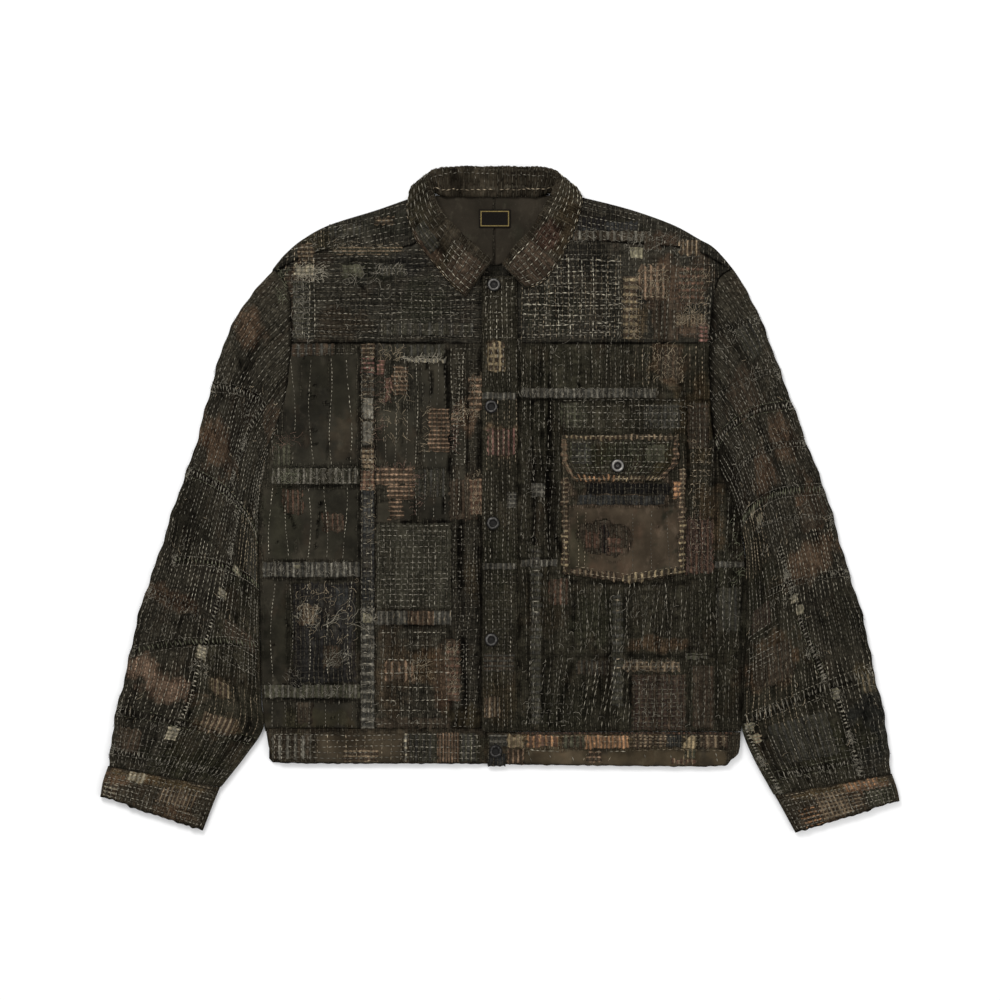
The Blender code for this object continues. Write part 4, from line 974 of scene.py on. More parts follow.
yoke_x = np.concatenate([np.linspace(-261.5, -250, 8), np.linspace(-247, 255, 168),
                         np.linspace(258, 267.5, 8)])
fold_y = on_line(yoke_x, SHOULDER_FOLD)
ahead_y = np.minimum(on_line(yoke_x, FORWARD_SEAM), fold_y - 5)
share = (yoke_x - yoke_x[0]) / (yoke_x[-1] - yoke_x[0])
rows_x, rows_y, rows_z = [], [], []
for part in np.linspace(0, 1, 22):
    level = ahead_y + (fold_y - EDGE_R - ahead_y) * part
    rows_x.append(yoke_x)
    rows_y.append(level)
    rows_z.append(front_z(yoke_x, level))
for angle in np.radians([20, 45, 70, 90, 110, 135, 160]):
    rows_x.append(yoke_x)
    rows_y.append(fold_y - EDGE_R + EDGE_R * math.sin(angle))
    rows_z.append(0 * yoke_x + EDGE_R + EDGE_R * math.cos(angle) * 0.9)
on_back = len(rows_x)
behind_y = np.where((yoke_x > NECK_RIGHT) & (yoke_x < NECK_LEFT), 349, fold_y - EDGE_R)
right_edge, left_edge = side_x("right", 217), side_x("left", 217)
for part in np.linspace(0, 1, 50):
    level = behind_y + (217.2 - behind_y) * part
    straight = yoke_x + ((right_edge + (left_edge - right_edge) * share) - yoke_x) * part
    bulge = np.where(share < 0.5, side_x("right", level) - (-261 + (right_edge + 261) * part),
                     side_x("left", level) - (269 + (left_edge - 269) * part))
    near = np.clip(1 - np.minimum(share, 1 - share) * 12, 0, 1) * np.sin(np.pi * part)
    rows_x.append(straight + bulge * near)
    rows_y.append(level)
    rows_z.append(0.45 + 0.12 * (1 + ripple(straight, level, 36, 9)))
points = np.dstack([np.array(rows_x), np.array(rows_y), np.array(rows_z)])
length = np.cumsum(np.vstack([0 * yoke_x, np.linalg.norm(np.diff(points, axis=0), axis=2)]), axis=0)
cut = np.dstack([np.array(rows_x), -length])
# Painted shade in the hollows in front of the shoulder fold.
shade_and_plain = np.zeros(points.shape[:2])
shade_and_plain[:22] = hollow(front_z, points[:22, :, 0], points[:22, :, 1])
back_yoke = cut_cloth("back_yoke_cloth", points, cut, SLATE, shade_and_plain=shade_and_plain, tint=stained(
    points[..., 0], points[..., 1], [
        (190, 298, 14, 12, (1.94, 1.49, 1.34)), (-120, 318, 40, 16, (0.8, 0.84, 0.82)),
        (130, 312, 40, 14, (0.66, 0.68, 0.66)), (-210, 296, 20, 16, (1.15, 1.1, 0.95))]))
at_neck = np.r_[False, (yoke_x > NECK_RIGHT) & (yoke_x < NECK_LEFT), False]
cut_away(back_yoke, lambda vert: vert.index < (on_back + 1) * len(at_neck)
         and at_neck[vert.index % len(at_neck)])
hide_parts("back_yoke")


def on_shoulder(u, v):
    """Whether a stitch falls between the forward seam and the fold, clear of the neck."""
    fold, seam = on_line(u, SHOULDER_FOLD), on_line(u, FORWARD_SEAM)
    return (v < fold - 2.5) & (v > seam + 1.5) & ((u < NECK_RIGHT) | (u > NECK_LEFT + 2))


shoulder_rows = running_stitch("shoulder_stitches", upper_face, [
    (-250, 262, -70, 352, "u", 6.8, 3.8, 2.6, "grey", 1, 0.24, 1),
    (-250, 270, -200, 330, "v", 7.6, 3.6, 2.8, "sand", 1, 0, 1),
    (60, 262, 160, 352, "u", 7, 3.6, 2.8, "grey", 1, -0.22, 1),
    (150, 262, 262, 340, "v", 7.8, 3.6, 2.8, "grey", 1, 0.1, 1),
    (180, 262, 262, 330, "u", 8, 3.6, 2.8, "dim", 1, -0.4, 1)], seed=34, within=on_shoulder)
back_yoke_rows = running_stitch("back_yoke_stitches", lying(lambda u, v: 0.5), [
    (-232, 222, 236, 300, "u", 9, 4.4, 3.4, "grey", 0.8, 0, 1),
    (-150, 300, 150, 340, "u", 9, 4.4, 3.4, "dim", 0.8, 0, 1)], up=-1, seed=35)

# ---------------------------------------------------------------------------------------
# Neck lining and label. The lining is plain dark cotton in two halves, seamed down the
# middle, and shows only in the neckline. The woven label is left bare within its border.
LINING_Z, LABEL_Z = 3.1, 4.4
lining_finish = cloth_finish("plain_lining", (0.0235, 0.0195, 0.0142), (0.0262, 0.0215, 0.0156),
                             (0.03, 0.03, 0.02))
low = softened([(-88, 306), (-60, 300), (-30, 286), (-6, 271), (20, 284), (48, 298), (74, 306)])
lining_x = between(-87, 73, 2.5)
bottom = on_line(lining_x, low)
top = np.where((lining_x > -78) & (lining_x < 66), 351.0, 338.0)
level = np.linspace(0, 1, 34)[:, None]
y = bottom + (top - bottom) * level
x = np.repeat(lining_x[None], len(level), axis=0)
lining_folds = [(-20, 345, -12, 290, 9, 0.5), (34, 340, 22, 296, 8, 0.5),
                (-50, 344, -34, 300, 8, 0.4)]
z = LINING_Z + crease(x, y, lining_folds) - 0.6 * np.exp(-((x + 7) / 1.1) ** 2)
# Plain cloth, with painted shade down its middle seam.
lining = cut_cloth("neck_lining_cloth", np.dstack([x, y, z]), np.dstack([x, y]), lining_finish,
                   shade_and_plain=1.6 * np.exp(-((x + 7) / 1.4) ** 2) - 1, turned=0.8)
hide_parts("neck_lining")

LABEL = (-24, 314, 12, 335)      # x, y of two corners


def label_finish():
    """Black satin weave with an olive-gold woven border line."""
    made, skin, satin = new_finish("woven_label", 0.9)
    cut, sums = satin.cut(), satin.sums
    place = satin.node("SeparateXYZ", {0: cut}).outputs
    insets = []
    for axis, low, high in (("X", LABEL[0], LABEL[2]), ("Y", LABEL[1], LABEL[3])):
        off = sums("ABSOLUTE", sums("SUBTRACT", place[axis], (low + high) / 2 * MM))
        insets.append(sums("SUBTRACT", (high - low) / 2 * MM, off))
    line = sums("COMPARE", sums("MINIMUM", *insets), 2.2 * MM, 0.55 * MM)
    twill = satin.node("TexNoise", {"Vector": cut, "Scale": 900}).outputs["Fac"]
    dyed = satin.mixed(line, (0.008, 0.007, 0.006, 1), (0.16, 0.12, 0.045, 1))
    satin.join(satin.scaled(dyed, satin.ranged(twill, 0.3, 0.7, 0.5, 1.4)), skin["Base Color"])
    return made


x, y = np.meshgrid(between(LABEL[0], LABEL[2], 1.5), between(LABEL[1], LABEL[3], 1.5))
z = LABEL_Z + 0.1 * np.sin(x / 5)
label = cut_cloth("neck_label_cloth", np.dstack([x, y, z]), np.dstack([x, y]), label_finish(),
                  turned=0.8)
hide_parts("neck_label")
label_rows = running_stitch("neck_label_stitches", lying(lambda u, v: LABEL_Z + 0.05), [
    (LABEL[0] + 0.6, LABEL[1], LABEL[0] + 1.4, LABEL[3], "v", 1.6, 1.8, 1, "dim", 0.5, 0, 0),
    (LABEL[2] - 1.4, LABEL[1], LABEL[2] - 0.6, LABEL[3], "v", 1.6, 1.8, 1, "dim", 0.5, 0, 0)],
    seed=36)

# ---------------------------------------------------------------------------------------
# Sleeves. Each is two panels, top and under, joined down the inner front and again under
# the arm, and pressed flat. They are pieced from short lengths with rows of stitching
# running down them. u is the place across, 0 at the outer fold and 150 at the inner one,
# and minus on the side underneath; v is the distance down from the armhole.
SLEEVE_FOLDS = {  # outer fold x, y; inner fold x, y; seam share; bend of the row; height
    "right": [
        (-261, 266, -274.6, 33, .90, 1, 7), (-291, 224, -278.6, 1, .92, .6, 7.6),
        (-317, 175, -279.6, -34, .91, .3, 8), (-338, 110, -278.6, -74, .85, .1, 8),
        (-358, 41, -277.6, -114, .75, 0, 8), (-382, -28, -277.6, -155, .63, 0, 8),
        (-405, -97, -276.6, -197, .54, 0, 8), (-420, -149, -275.6, -232, .49, 0, 8),
        (-432, -201, -273.6, -262, .46, 0, 8), (-443, -252, -292.6, -292, .45, 0, 8),
        (-451, -305.5, -322, -329.5, .41, 0, 8)],
    "left": [
        (269, 267, 254.6, 33, .90, 1, 7), (289, 224, 266.6, 7, .92, .6, 7.6),
        (310, 175, 276.6, -25, .92, .3, 8), (337, 110, 283.4, -63, .82, .1, 8),
        (363, 41, 284.1, -105, .67, 0, 8), (386, -28, 283.8, -149, .55, 0, 8),
        (406, -97, 282, -193, .48, 0, 8), (421, -149, 280.6, -229, .40, 0, 8),
        (432, -201, 279.6, -262, .31, 0, 8), (443, -255, 292.6, -296, .29, 0, 8),
        (451, -314.5, 316, -338.5, .25, 0, 8)],
}
SLEEVE_ROWS = {side: softened(rows, 12) for side, rows in SLEEVE_FOLDS.items()}
ACROSS = 150.0


def down_sleeve(side):
    """Distance from the armhole of each drawn row, down the middle of the sleeve."""
    rows = SLEEVE_ROWS[side]
    middle = (rows[:, 0:2] + rows[:, 2:4]) / 2
    return run_along(middle)


SLEEVE_DOWN = {side: down_sleeve(side) for side in SLEEVE_ROWS}
ARMHOLE = {side: softened(line[:10]) for side, line in OUTLINE.items()}
SLEEVE_CREASES = {  # u and place down the outer fold, as are the stains and the stitching
    "right": [
        (26, 60, 50, 190, 7, 0.9), (70, 120, 88, 250, 6, -0.7), (110, 120, 116, 230, 8, 0.8),
        (136, 130, 104, 240, 5, -0.8), (16, 200, 36, 350, 8, 0.8), (84, 230, 66, 400, 6, -0.6),
        (130, 240, 114, 380, 7, 0.9), (56, 360, 30, 520, 8, 0.8), (106, 380, 128, 520, 7, 0.7),
        (14, 480, 24, 600, 7, 0.8), (80, 490, 66, 600, 6, -0.7), (138, 500, 126, 600, 7, 0.8),
        (0, 152, 80, 98, 3.5, -1), (0, 250, 150, 210, 3, -1), (20, 348, 150, 286, 3, -0.9),
        (0, 392, 70, 391, 3, -0.9), (0, 468, 150, 392, 3, -1), (0, 536, 150, 540, 3, -0.9),
        (95, 210, 92, 470, 2.5, -0.8), (80, 470, 66, 600, 2.5, -0.7),
        (80, 80, 70, 220, 2.5, -0.7)],
    "left": [
        (30, 50, 60, 180, 7, 0.9), (80, 110, 86, 240, 6, -0.7), (118, 130, 112, 250, 8, 0.9),
        (142, 130, 116, 230, 5, -0.8), (18, 190, 30, 330, 8, 0.8), (90, 260, 76, 400, 6, -0.6),
        (126, 250, 120, 400, 7, 0.9), (54, 370, 34, 500, 8, 0.8), (104, 400, 124, 540, 7, 0.7),
        (16, 480, 26, 610, 7, 0.8), (84, 500, 72, 610, 6, -0.7), (136, 520, 130, 610, 7, 0.8),
        (64, 40, 0, 68, 3, -1), (134, 90, 0, 172, 3, -1), (144, 192, 0, 267, 3, -1),
        (122, 148, 0, 217, 3, -0.8), (116, 340, 0, 372, 3, -1), (150, 514, 0, 494, 4, -1.1),
        (140, 600, 30, 596, 3, -0.8), (84, 294, 55, 489, 2.5, -0.8), (44, 500, 39, 614, 2.5, -0.8),
        (118, 84, 148, 206, 5, 1), (148, 210, 149, 516, 4, 0.9)],
}


SLEEVE_SEAMS = {  # where the short lengths join, bound with cross stitches
    "right": [
        (2, 152, 74, 105, 9, 5.4, 1.3, "grey", "dim"),
        (2, 250, 146, 212, 10, 5.2, 1.4, "grey", "moss"),
        (20, 348, 148, 288, 10, 5.4, 1.5, "moss", "grey"),
        (2, 392, 66, 391, 8, 5.4, 1.3, "grey", "dim"),
        (2, 466, 146, 388, 11, 5.2, 1.5, "moss", "grey"),
        (2, 536, 148, 541, 11, 5.4, 1.5, "grey", "moss"),
        (96, 216, 90, 352, 5, 5.8, 1.6, "grey", "dim"),
        (88, 356, 66, 552, 6, 5.6, 2.1, "pale", "dim"),
        (76, 100, 70, 210, 6, 5.6, 1.4, "grey", "dim"),
        (2, 588, 148, 596, 9, 5.6, 1.3, "grey", "dim")],
    "left": [
        (60, 42, 3, 66, 7, 5.6, 1.3, "grey", "dim"), (98, 76, 3, 130, 5, 5.8, 1.2, "dim", "dim"),
        (132, 92, 2, 171, 9, 5.4, 1.4, "grey", "moss"),
        (120, 149, 2, 216, 6, 5.8, 1.2, "grey", "dim"),
        (142, 198, 2, 272, 12, 5.2, 1.5, "moss", "grey"),
        (120, 240, 3, 306, 4, 5.8, 1.2, "grey", "dim"),
        (112, 342, 2, 372, 8, 5.4, 1.4, "dim", "grey"),
        (146, 510, 2, 492, 17, 5, 1.7, "grey", "pale"),
        (136, 600, 40, 597, 12, 5.2, 1.4, "grey", "moss"),
        (85, 294, 77, 362, 7, 5.4, 1.7, "grey", "pale"),
        (74, 398, 55, 486, 8, 5.4, 1.9, "grey", "moss"),
        (45, 506, 39, 614, 7, 5.2, 2.2, "pale", "grey"),
        (146, 520, 141, 618, 6, 5.4, 1.9, "pale", "moss")],
}


def slanted(u, v):
    """Place down the outer fold: the cloth's crossways yarns slant across a pressed sleeve."""
    return (v + 0.65 * np.abs(u)) / (0.793 + 0.65 * np.abs(u) / 640)


def unslanted(u, place):
    """Distance down the middle of the sleeve, the other way round."""
    return 0.793 * place - 0.65 * np.abs(u) * (1 - place / 640)


def sleeve_row(side, v):
    """The seven drawn values of a sleeve at each distance down it."""
    rows, down = SLEEVE_ROWS[side], SLEEVE_DOWN[side]
    return [np.interp(v, down, rows[:, column]) for column in range(7)]


def sleeve_lift(side, u, v):
    """Rise and fall of the upper side of a sleeve."""
    seed = 40 if side == "right" else 50
    lift = crease(u, v, SLEEVE_CREASES[side]) + 0.42 * ripple(u, v, 32, seed)
    return lift + 0.26 * ripple(u, v, 13, seed + 1)


def sleeve_face(side):
    """The sleeve's outer face as a function of u and v."""
    line = ARMHOLE[side]
    run = run_along(line)
    run /= run[-1]
    sign = OUTWARD[side]

    def face(u, v):
        u, v = np.asarray(u, float), np.asarray(v, float)
        outer_x, outer_y, inner_x, inner_y, _, bend, high = sleeve_row(side, v)
        share = np.abs(u) / ACROSS
        share = np.where(share > 1, 2 - share, share)
        under = (u < 0) | (np.abs(u) > ACROSS)
        chord_x = line[0, 0] + (line[-1, 0] - line[0, 0]) * share
        chord_y = line[0, 1] + (line[-1, 1] - line[0, 1]) * share
        arm_x, arm_y = np.interp(share, run, line[:, 0]), np.interp(share, run, line[:, 1])
        puff = 0.8 * np.sin(v / 17 + 1) + 0.7 * np.sin(v / 7.3) + 0.5 * np.sin(v / 3.1)
        puff = puff * np.clip(1 - share * 5, 0, 1) * np.clip(v / 30, 0, 1)
        x = outer_x + (inner_x - outer_x) * share + sign * puff
        y = outer_y + (inner_y - outer_y) * share
        x = x + bend * (0.9 + 0.1 * bend ** 3) * (arm_x - chord_x) - sign * 1.2 * bend
        x = x - sign * 1.1 * np.clip(share * 5 - 4, 0, 1) * np.clip(v / 20, 0, 1)
        head = 4.5 * np.sin(np.pi * np.clip(v / 110, 0, 1)) * np.clip(1 - share * 2, 0, 1)
        x, y = x + sign * head, y + 0.5 * head
        y = y + bend * (0.5 + 0.5 * bend ** 3) * (arm_y - chord_y)
        width = np.hypot(inner_x - outer_x, inner_y - outer_y)
        radius = high / 2
        rise = rounded(np.minimum(share, 1 - share) * width, radius)
        fade = np.clip(np.minimum(share, 1 - share) * 12, 0, 1)
        seam = np.clip(1 - np.abs(v) / 4, 0, 1)
        upper = radius + rise + fade * sleeve_lift(side, np.abs(u), slanted(u, v)) - 0.9 * seam
        lower = radius - rise * 0.86 + fade * 0.3 * (1 + ripple(u, v, 40, 60))
        return np.stack([x, y, np.where(under, lower, np.maximum(upper, radius + 0.6))], axis=-1)

    return face


UPPER_SLEEVE = {side: sleeve_face(side) for side in SLEEVE_FOLDS}


def sleeve_panel(side, name, wraps_outer):
    """One panel: across the top, round its fold and back underneath, seam to seam."""
    face = UPPER_SLEEVE[side]
    down = between(0.5, SLEEVE_DOWN[side][-1] - 0.1, 3.0)
    seam = sleeve_row(side, down)[4][:, None]
    close = np.array([0, 0.006, 0.016, 0.03])
    if wraps_outer:
        half = np.concatenate([close, np.linspace(0.055, 1, 40)])
        share = np.concatenate([half[::-1], -half[1:]])
        u = share * (seam * ACROSS - 0.3)
    else:
        half = np.concatenate([close * 2, np.linspace(0.09, 1, 26)])
        reach = np.concatenate([-half[::-1], half[1:]])
        u = ACROSS + reach * (ACROSS * (1 - seam) - 0.3)
        u = np.where(u > ACROSS, u - 2 * ACROSS, u)[:, ::-1]
        u = np.where(np.isclose(u, -ACROSS), ACROSS, u)
    if side == "left":
        u = u[:, ::-1]
    v = np.repeat(down[:, None], u.shape[1], axis=1)
    points = face(u, v)
    place = slanted(u, v)
    cut = np.dstack([u, -place])
    # Painted shade in the hollows of the upper side, and a painted shadow along the armhole seam
    # that reaches further down the left sleeve.
    shade_and_plain = np.where(u > 0, hollow(lambda a, b: sleeve_lift(side, a, b), u, place), 0)
    shade_strength = np.clip(1.3 - v / (9 if side == "left" else 5), 0, 1) * np.clip((u - 14) / 20, 0, 1)
    shade_and_plain = np.maximum(shade_and_plain, shade_strength)
    # Painted shade along the seams between the short lengths and along the raised tucks.
    seams = [(u0, v0, u1, v1, 0.6 * wide, 0.75) for u0, v0, u1, v1, wide, *_ in SLEEVE_SEAMS[side]]
    tuck_shade = [(u0, v0, u1, v1, half / 2.2, 0.8)
             for u0, v0, u1, v1, half, high in SLEEVE_CREASES[side] if high > 0]
    shade_and_plain = np.where(u > 2, grooved(grooved(shade_and_plain, u, place, seams), u, place, tuck_shade), shade_and_plain)
    return cut_cloth(name, points, cut, CHARCOAL if wraps_outer else OLIVE, shade_and_plain=shade_and_plain,
                     tint=stained(u, place, SLEEVE_STAINS[side]))


SLEEVE_STAINS = {
    "right": [
        (16, 72, 16, 18, (1.94, 1.49, 1.34)), (98, 100, 18, 16, (2.05, 1.58, 1.41)),
        (32, 200, 32, 24, (2.38, 1.83, 1.64)), (30, 391, 40, 12, (1.84, 1.42, 1.28)),
        (12, 480, 24, 14, (4.3, 3.3, 3.1)), (46, 498, 30, 16, (4.3, 3.3, 3.1)),
        (122, 392, 24, 18, (1.94, 1.49, 1.34)), (104, 478, 14, 14, (2.27, 1.84, 1.57)),
        (108, 530, 22, 16, (2.05, 1.61, 1.41)), (30, 300, 40, 40, (0.72, 0.74, 0.72)),
        (120, 300, 26, 50, (0.78, 0.8, 0.78)), (50, 130, 30, 40, (0.8, 0.8, 0.8)),
        (90, 590, 50, 20, (0.9, 0.95, 0.85)), (124, 410, 28, 60, (1.16, 1.14, 1.12))],
    "left": [
        (56, 112, 18, 24, (1.94, 1.49, 1.34)), (34, 190, 20, 28, (2.48, 1.91, 1.71)),
        (78, 200, 20, 28, (2.27, 1.75, 1.57)), (26, 280, 16, 28, (2.27, 1.75, 1.57)),
        (46, 338, 44, 22, (2.48, 1.91, 1.71)), (114, 436, 30, 36, (2.05, 1.58, 1.41)),
        (10, 498, 12, 16, (1.94, 1.72, 1.34)), (20, 420, 26, 34, (0.72, 0.74, 0.72)),
        (120, 330, 26, 44, (0.78, 0.8, 0.78)), (138, 136, 17, 52, (0.5, 0.5, 0.5)),
        (20, 560, 24, 44, (0.8, 0.88, 1)), (60, 570, 50, 24, (0.9, 0.95, 0.85))],
}
SLEEVE_STITCHES = [  # shared by both sleeves; rows run down, with a few areas worked across
    (3, 8, 148, 100, "v", 5.9, 4, 2.6, "grey", 0.85, 0, 1),
    (3, 102, 84, 196, "v", 5.6, 3.8, 2.6, "grey", 0.85, 0.02, 1.2),
    (84, 102, 148, 206, "v", 6.2, 3.6, 2.6, "grey", 0.85, 0.02, 1.2),
    (3, 198, 100, 300, "v", 5.6, 3.8, 2.4, "grey", 0.85, -0.02, 1),
    (100, 208, 148, 300, "v", 6.4, 3.6, 2.8, "sand", 0.85, 0.02, 1),
    (3, 302, 96, 390, "v", 5.4, 3.8, 2.4, "pale", 0.85, 0.03, 1.2),
    (96, 302, 148, 390, "v", 7, 3.8, 2.8, "grey", 0.85, 0, 1),
    (3, 392, 148, 460, "v", 5.4, 3.8, 2.4, "grey", 0.85, 0, 1),
    (3, 462, 90, 536, "v", 5.6, 4, 2.4, "pale", 0.85, -0.03, 1.2),
    (90, 462, 148, 536, "v", 6.4, 3.6, 2.6, "sand", 0.85, 0, 1),
    (3, 540, 148, 625, "v", 5.8, 3.8, 2.4, "grey", 0.85, 0, 1),
    (110, 140, 146, 208, "u", 9, 3.6, 2.8, "dim", 0.85, 0, 0.8),
    (100, 380, 148, 440, "u", 9, 3.6, 2.6, "grey", 0.85, 0, 0.8),
    (3, 560, 80, 625, "u", 9, 3.6, 2.6, "dim", 0.85, 0, 0.8),
    (-148, 6, -3, 620, "v", 9.5, 4.6, 3.6, "grey", 0.8, 0, 1.4)]
SLEEVE_SCRAPS = {
    "right": [
        (80, 90, 116, 112, "brown", "umber", 6, 0, 1.4, 0.5),
        (100, 380, 144, 404, "brown", "umber", 6, 0, 1.4, 0.4),
        (94, 468, 114, 488, "umber", "gold", 6, 0, 1.4, 0.6),
        (90, 516, 124, 542, "umber", "tan", 5.5, 0, 2, 0.5),
        (130, 118, 144, 128, "ash", "tan", 0, 4, 1.2, 0.7),
        (100, 301, 112, 312, "cream", "bone", 0, 5, 0.9, 0.8),
        (85, 346, 97, 357, "cream", "bone", 0, 5, 0.9, 0.8),
        (71, 431, 83, 449, "cream", "bone", 0, 5, 0.9, 0.8),
        (59, 545, 72, 563, "cream", "bone", 0, 5, 0.9, 0.8),
        (116, 230, 144, 290, "olive", "grey", 8, 0, 1, 0.35),
        (6, 556, 34, 588, "umber", "brown", 6, 0, 2, 0.4)],
    "left": [
        (38, 90, 78, 134, "brown", "umber", 6, 0, 1.4, 0.4),
        (88, 418, 136, 470, "brown", "umber", 7.5, 0, 2.4, 0.3),
        (2, 494, 19, 516, "olive", "gold", 6, 0, 1.4, 0.5),
        (113, 210, 124, 221, "cream", "bone", 0, 5, 1.6, 0.8),
        (104, 229, 115, 242, "bone", "cream", 5, 0, 1.6, 0.8),
        (70, 367, 81, 378, "cream", "bone", 0, 5, 1.6, 0.8),
        (65, 383, 76, 395, "bone", "cream", 5, 0, 1.6, 0.8),
        (41, 501, 49, 517, "bone", "ash", 0, 5, 1.8, 0.7),
        (138, 515, 149, 528, "bone", "ash", 0, 5, 2.2, 0.7),
        (134, 534, 144, 548, "bone", "tan", 0, 5, 2.2, 0.6),
        (112, 350, 140, 384, "wine", "brown", 6, 0, 1.6, 0.3),
        (60, 528, 124, 586, "olive", "grey", 7, 0, 1, 0.35),
        (6, 272, 46, 306, "brown", "umber", 6, 0, 2, 0.4),
        (6, 60, 30, 100, "olive", "grey", 6, 0, 1.2, 0.3)],
}


def loose_ends(name, surface, table, up=1, seed=1, rise=0.8, outline=None):
    """Frayed yarns lying in curls. Columns of the table: u, v of a frayed place; its half
    sizes; how many ends; length; heading in degrees; how much they curl; thread.
    """
    dice = random.Random(seed)
    laid = []
    for u0, v0, wide, high, count, length, heading, curl, thread in table:
        for _ in range(count):
            u, v = u0 + wide * dice.uniform(-1, 1), v0 + high * dice.uniform(-1, 1)
            if outline and v > outline(u):
                continue
            way = math.radians(heading + dice.gauss(0, 35))
            bend = dice.gauss(0, curl)
            tone = dice.uniform(0.35, 1.25)
            thick = dice.uniform(0.38, 0.62)
            for _ in range(max(2, round(length * dice.uniform(0.5, 1.4) / 1.7))):
                laid.append((u, v, math.cos(way), math.sin(way), 2.5, thick,
                             *spun(thread, tone)))
                u, v = u + 1.7 * math.cos(way), v + 1.7 * math.sin(way)
                way += bend + dice.gauss(0, 0.22)
    return lay_thread(name, surface, np.array(laid), up, rise)


for side in ("right", "left"):
    top = sleeve_panel(side, f"sleeve_top_{side}_cloth", True)
    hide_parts(f"sleeve_top_{side}")
    under = sleeve_panel(side, f"sleeve_under_{side}_cloth", False)
    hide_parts(f"sleeve_under_{side}")
    end = SLEEVE_DOWN[side][-1] - 2


    def laid_out(u, place, side=side):
        return UPPER_SLEEVE[side](u, unslanted(u, place))


    def on_sleeve(u, place, end=end):
        down = unslanted(u, place)
        return (down > 2) & (down < end)


    outward = OUTWARD[side]
    rows = running_stitch(f"sleeve_{side}_stitches", laid_out, SLEEVE_STITCHES, up=outward,
                          seed=60 + len(side), within=on_sleeve)
    scraps = sew_on(f"sleeve_{side}_scraps", laid_out, SLEEVE_SCRAPS[side], up=outward,
                    seed=260, step=1.9)
    bound = ladder(f"sleeve_{side}_seam_stitches", laid_out, SLEEVE_SEAMS[side], up=outward,
                   seed=270)
    frayed = [(*min((u0, v0), (u1, v1)), 2.5, 7, 18, 5, 0, 0.4, "grey")
              for u0, v0, u1, v1, *_ in SLEEVE_SEAMS[side]]
    frayed += [((u0 + u1) / 2, (v0 + v1) / 2 + 5, abs(u1 - u0) / 2, 8, 36, 6, 90, 0.35, "grey")
               for u0, v0, u1, v1, *_ in SLEEVE_SEAMS[side]]
    frayed += [(3, 330, 3, 270, 60, 5, 90, 0.5, "dim"), (75, 330, 70, 250, 80, 7, 90, 0.3, "sand")]
    ends = loose_ends(f"sleeve_{side}_loose_ends", laid_out, frayed, up=outward, seed=305, rise=1.3)

# ---------------------------------------------------------------------------------------
# Cuffs. Doubled bands of checked brown and charcoal cloth, edged with a tan binding at the
# sleeve seam, stitched through in short rows and worn ragged at the wrist.
CUFF_FOLDS = {  # outer fold x, y; inner fold x, y
    "right": softened([
        (-451.1, -305.6, -322.1, -329.6), (-457, -323, -332, -354), (-460, -340, -342, -380)], 8),
    "left": softened([
        (451.1, -314.6, 316.1, -338.6), (456.5, -330, 328, -360), (460, -345, 340, -382.4)], 8),
}
CUFF_R, CUFF_WIDE, CUFF_DEEP = 4, 130, 44
CUFF_CREASES = {
    "right": [
        (12, 2, 16, 44, 6, 0.7), (40, 0, 34, 40, 5, -0.5), (70, 4, 76, 46, 7, 0.7),
        (104, 2, 98, 44, 5, -0.5), (122, 0, 120, 40, 5, 0.6)],
    "left": [
        (16, 2, 12, 44, 6, 0.6), (46, 0, 52, 40, 5, -0.5), (74, 4, 70, 46, 7, 0.8),
        (98, 2, 104, 44, 5, -0.5), (120, 0, 122, 40, 5, 0.5)],
}


def cuff_face(side):
    """Outer face of a cuff: u across from the outer fold, minus underneath; v down the band."""
    rows = CUFF_FOLDS[side]
    down = np.linspace(0, CUFF_DEEP, len(rows))

    def face(u, v):
        outer_x, outer_y, inner_x, inner_y = [np.interp(v, down, rows[:, c]) for c in range(4)]
        width = np.hypot(inner_x - outer_x, inner_y - outer_y)
        share = np.clip(np.abs(u) / CUFF_WIDE, 0, 1)
        rise = rounded(np.minimum(share, 1 - share) * width, CUFF_R)
        fade = np.clip(np.minimum(share, 1 - share) * 12, 0, 1)
        lift = crease(np.abs(u), v, CUFF_CREASES[side]) + 0.3 * ripple(u, v, 15, 71)
        wrist = np.clip((v - 41) / 3, 0, 1)
        frayed = wrist * 1.2 * ripple(u, v * 0, 9, 72)
        drop = outer_y - inner_y
        x = outer_x + (inner_x - outer_x) * share - frayed * 0.3
        y = outer_y + (inner_y - outer_y) * share - frayed * np.sign(drop)
        upper = CUFF_R + rise + fade * lift - 1.2 * wrist
        lower = CUFF_R - rise * 0.86 + 0.8 * wrist
        return np.stack([x, y, np.where(u < 0, lower, np.maximum(upper, CUFF_R + 0.5))], axis=-1)

    return face


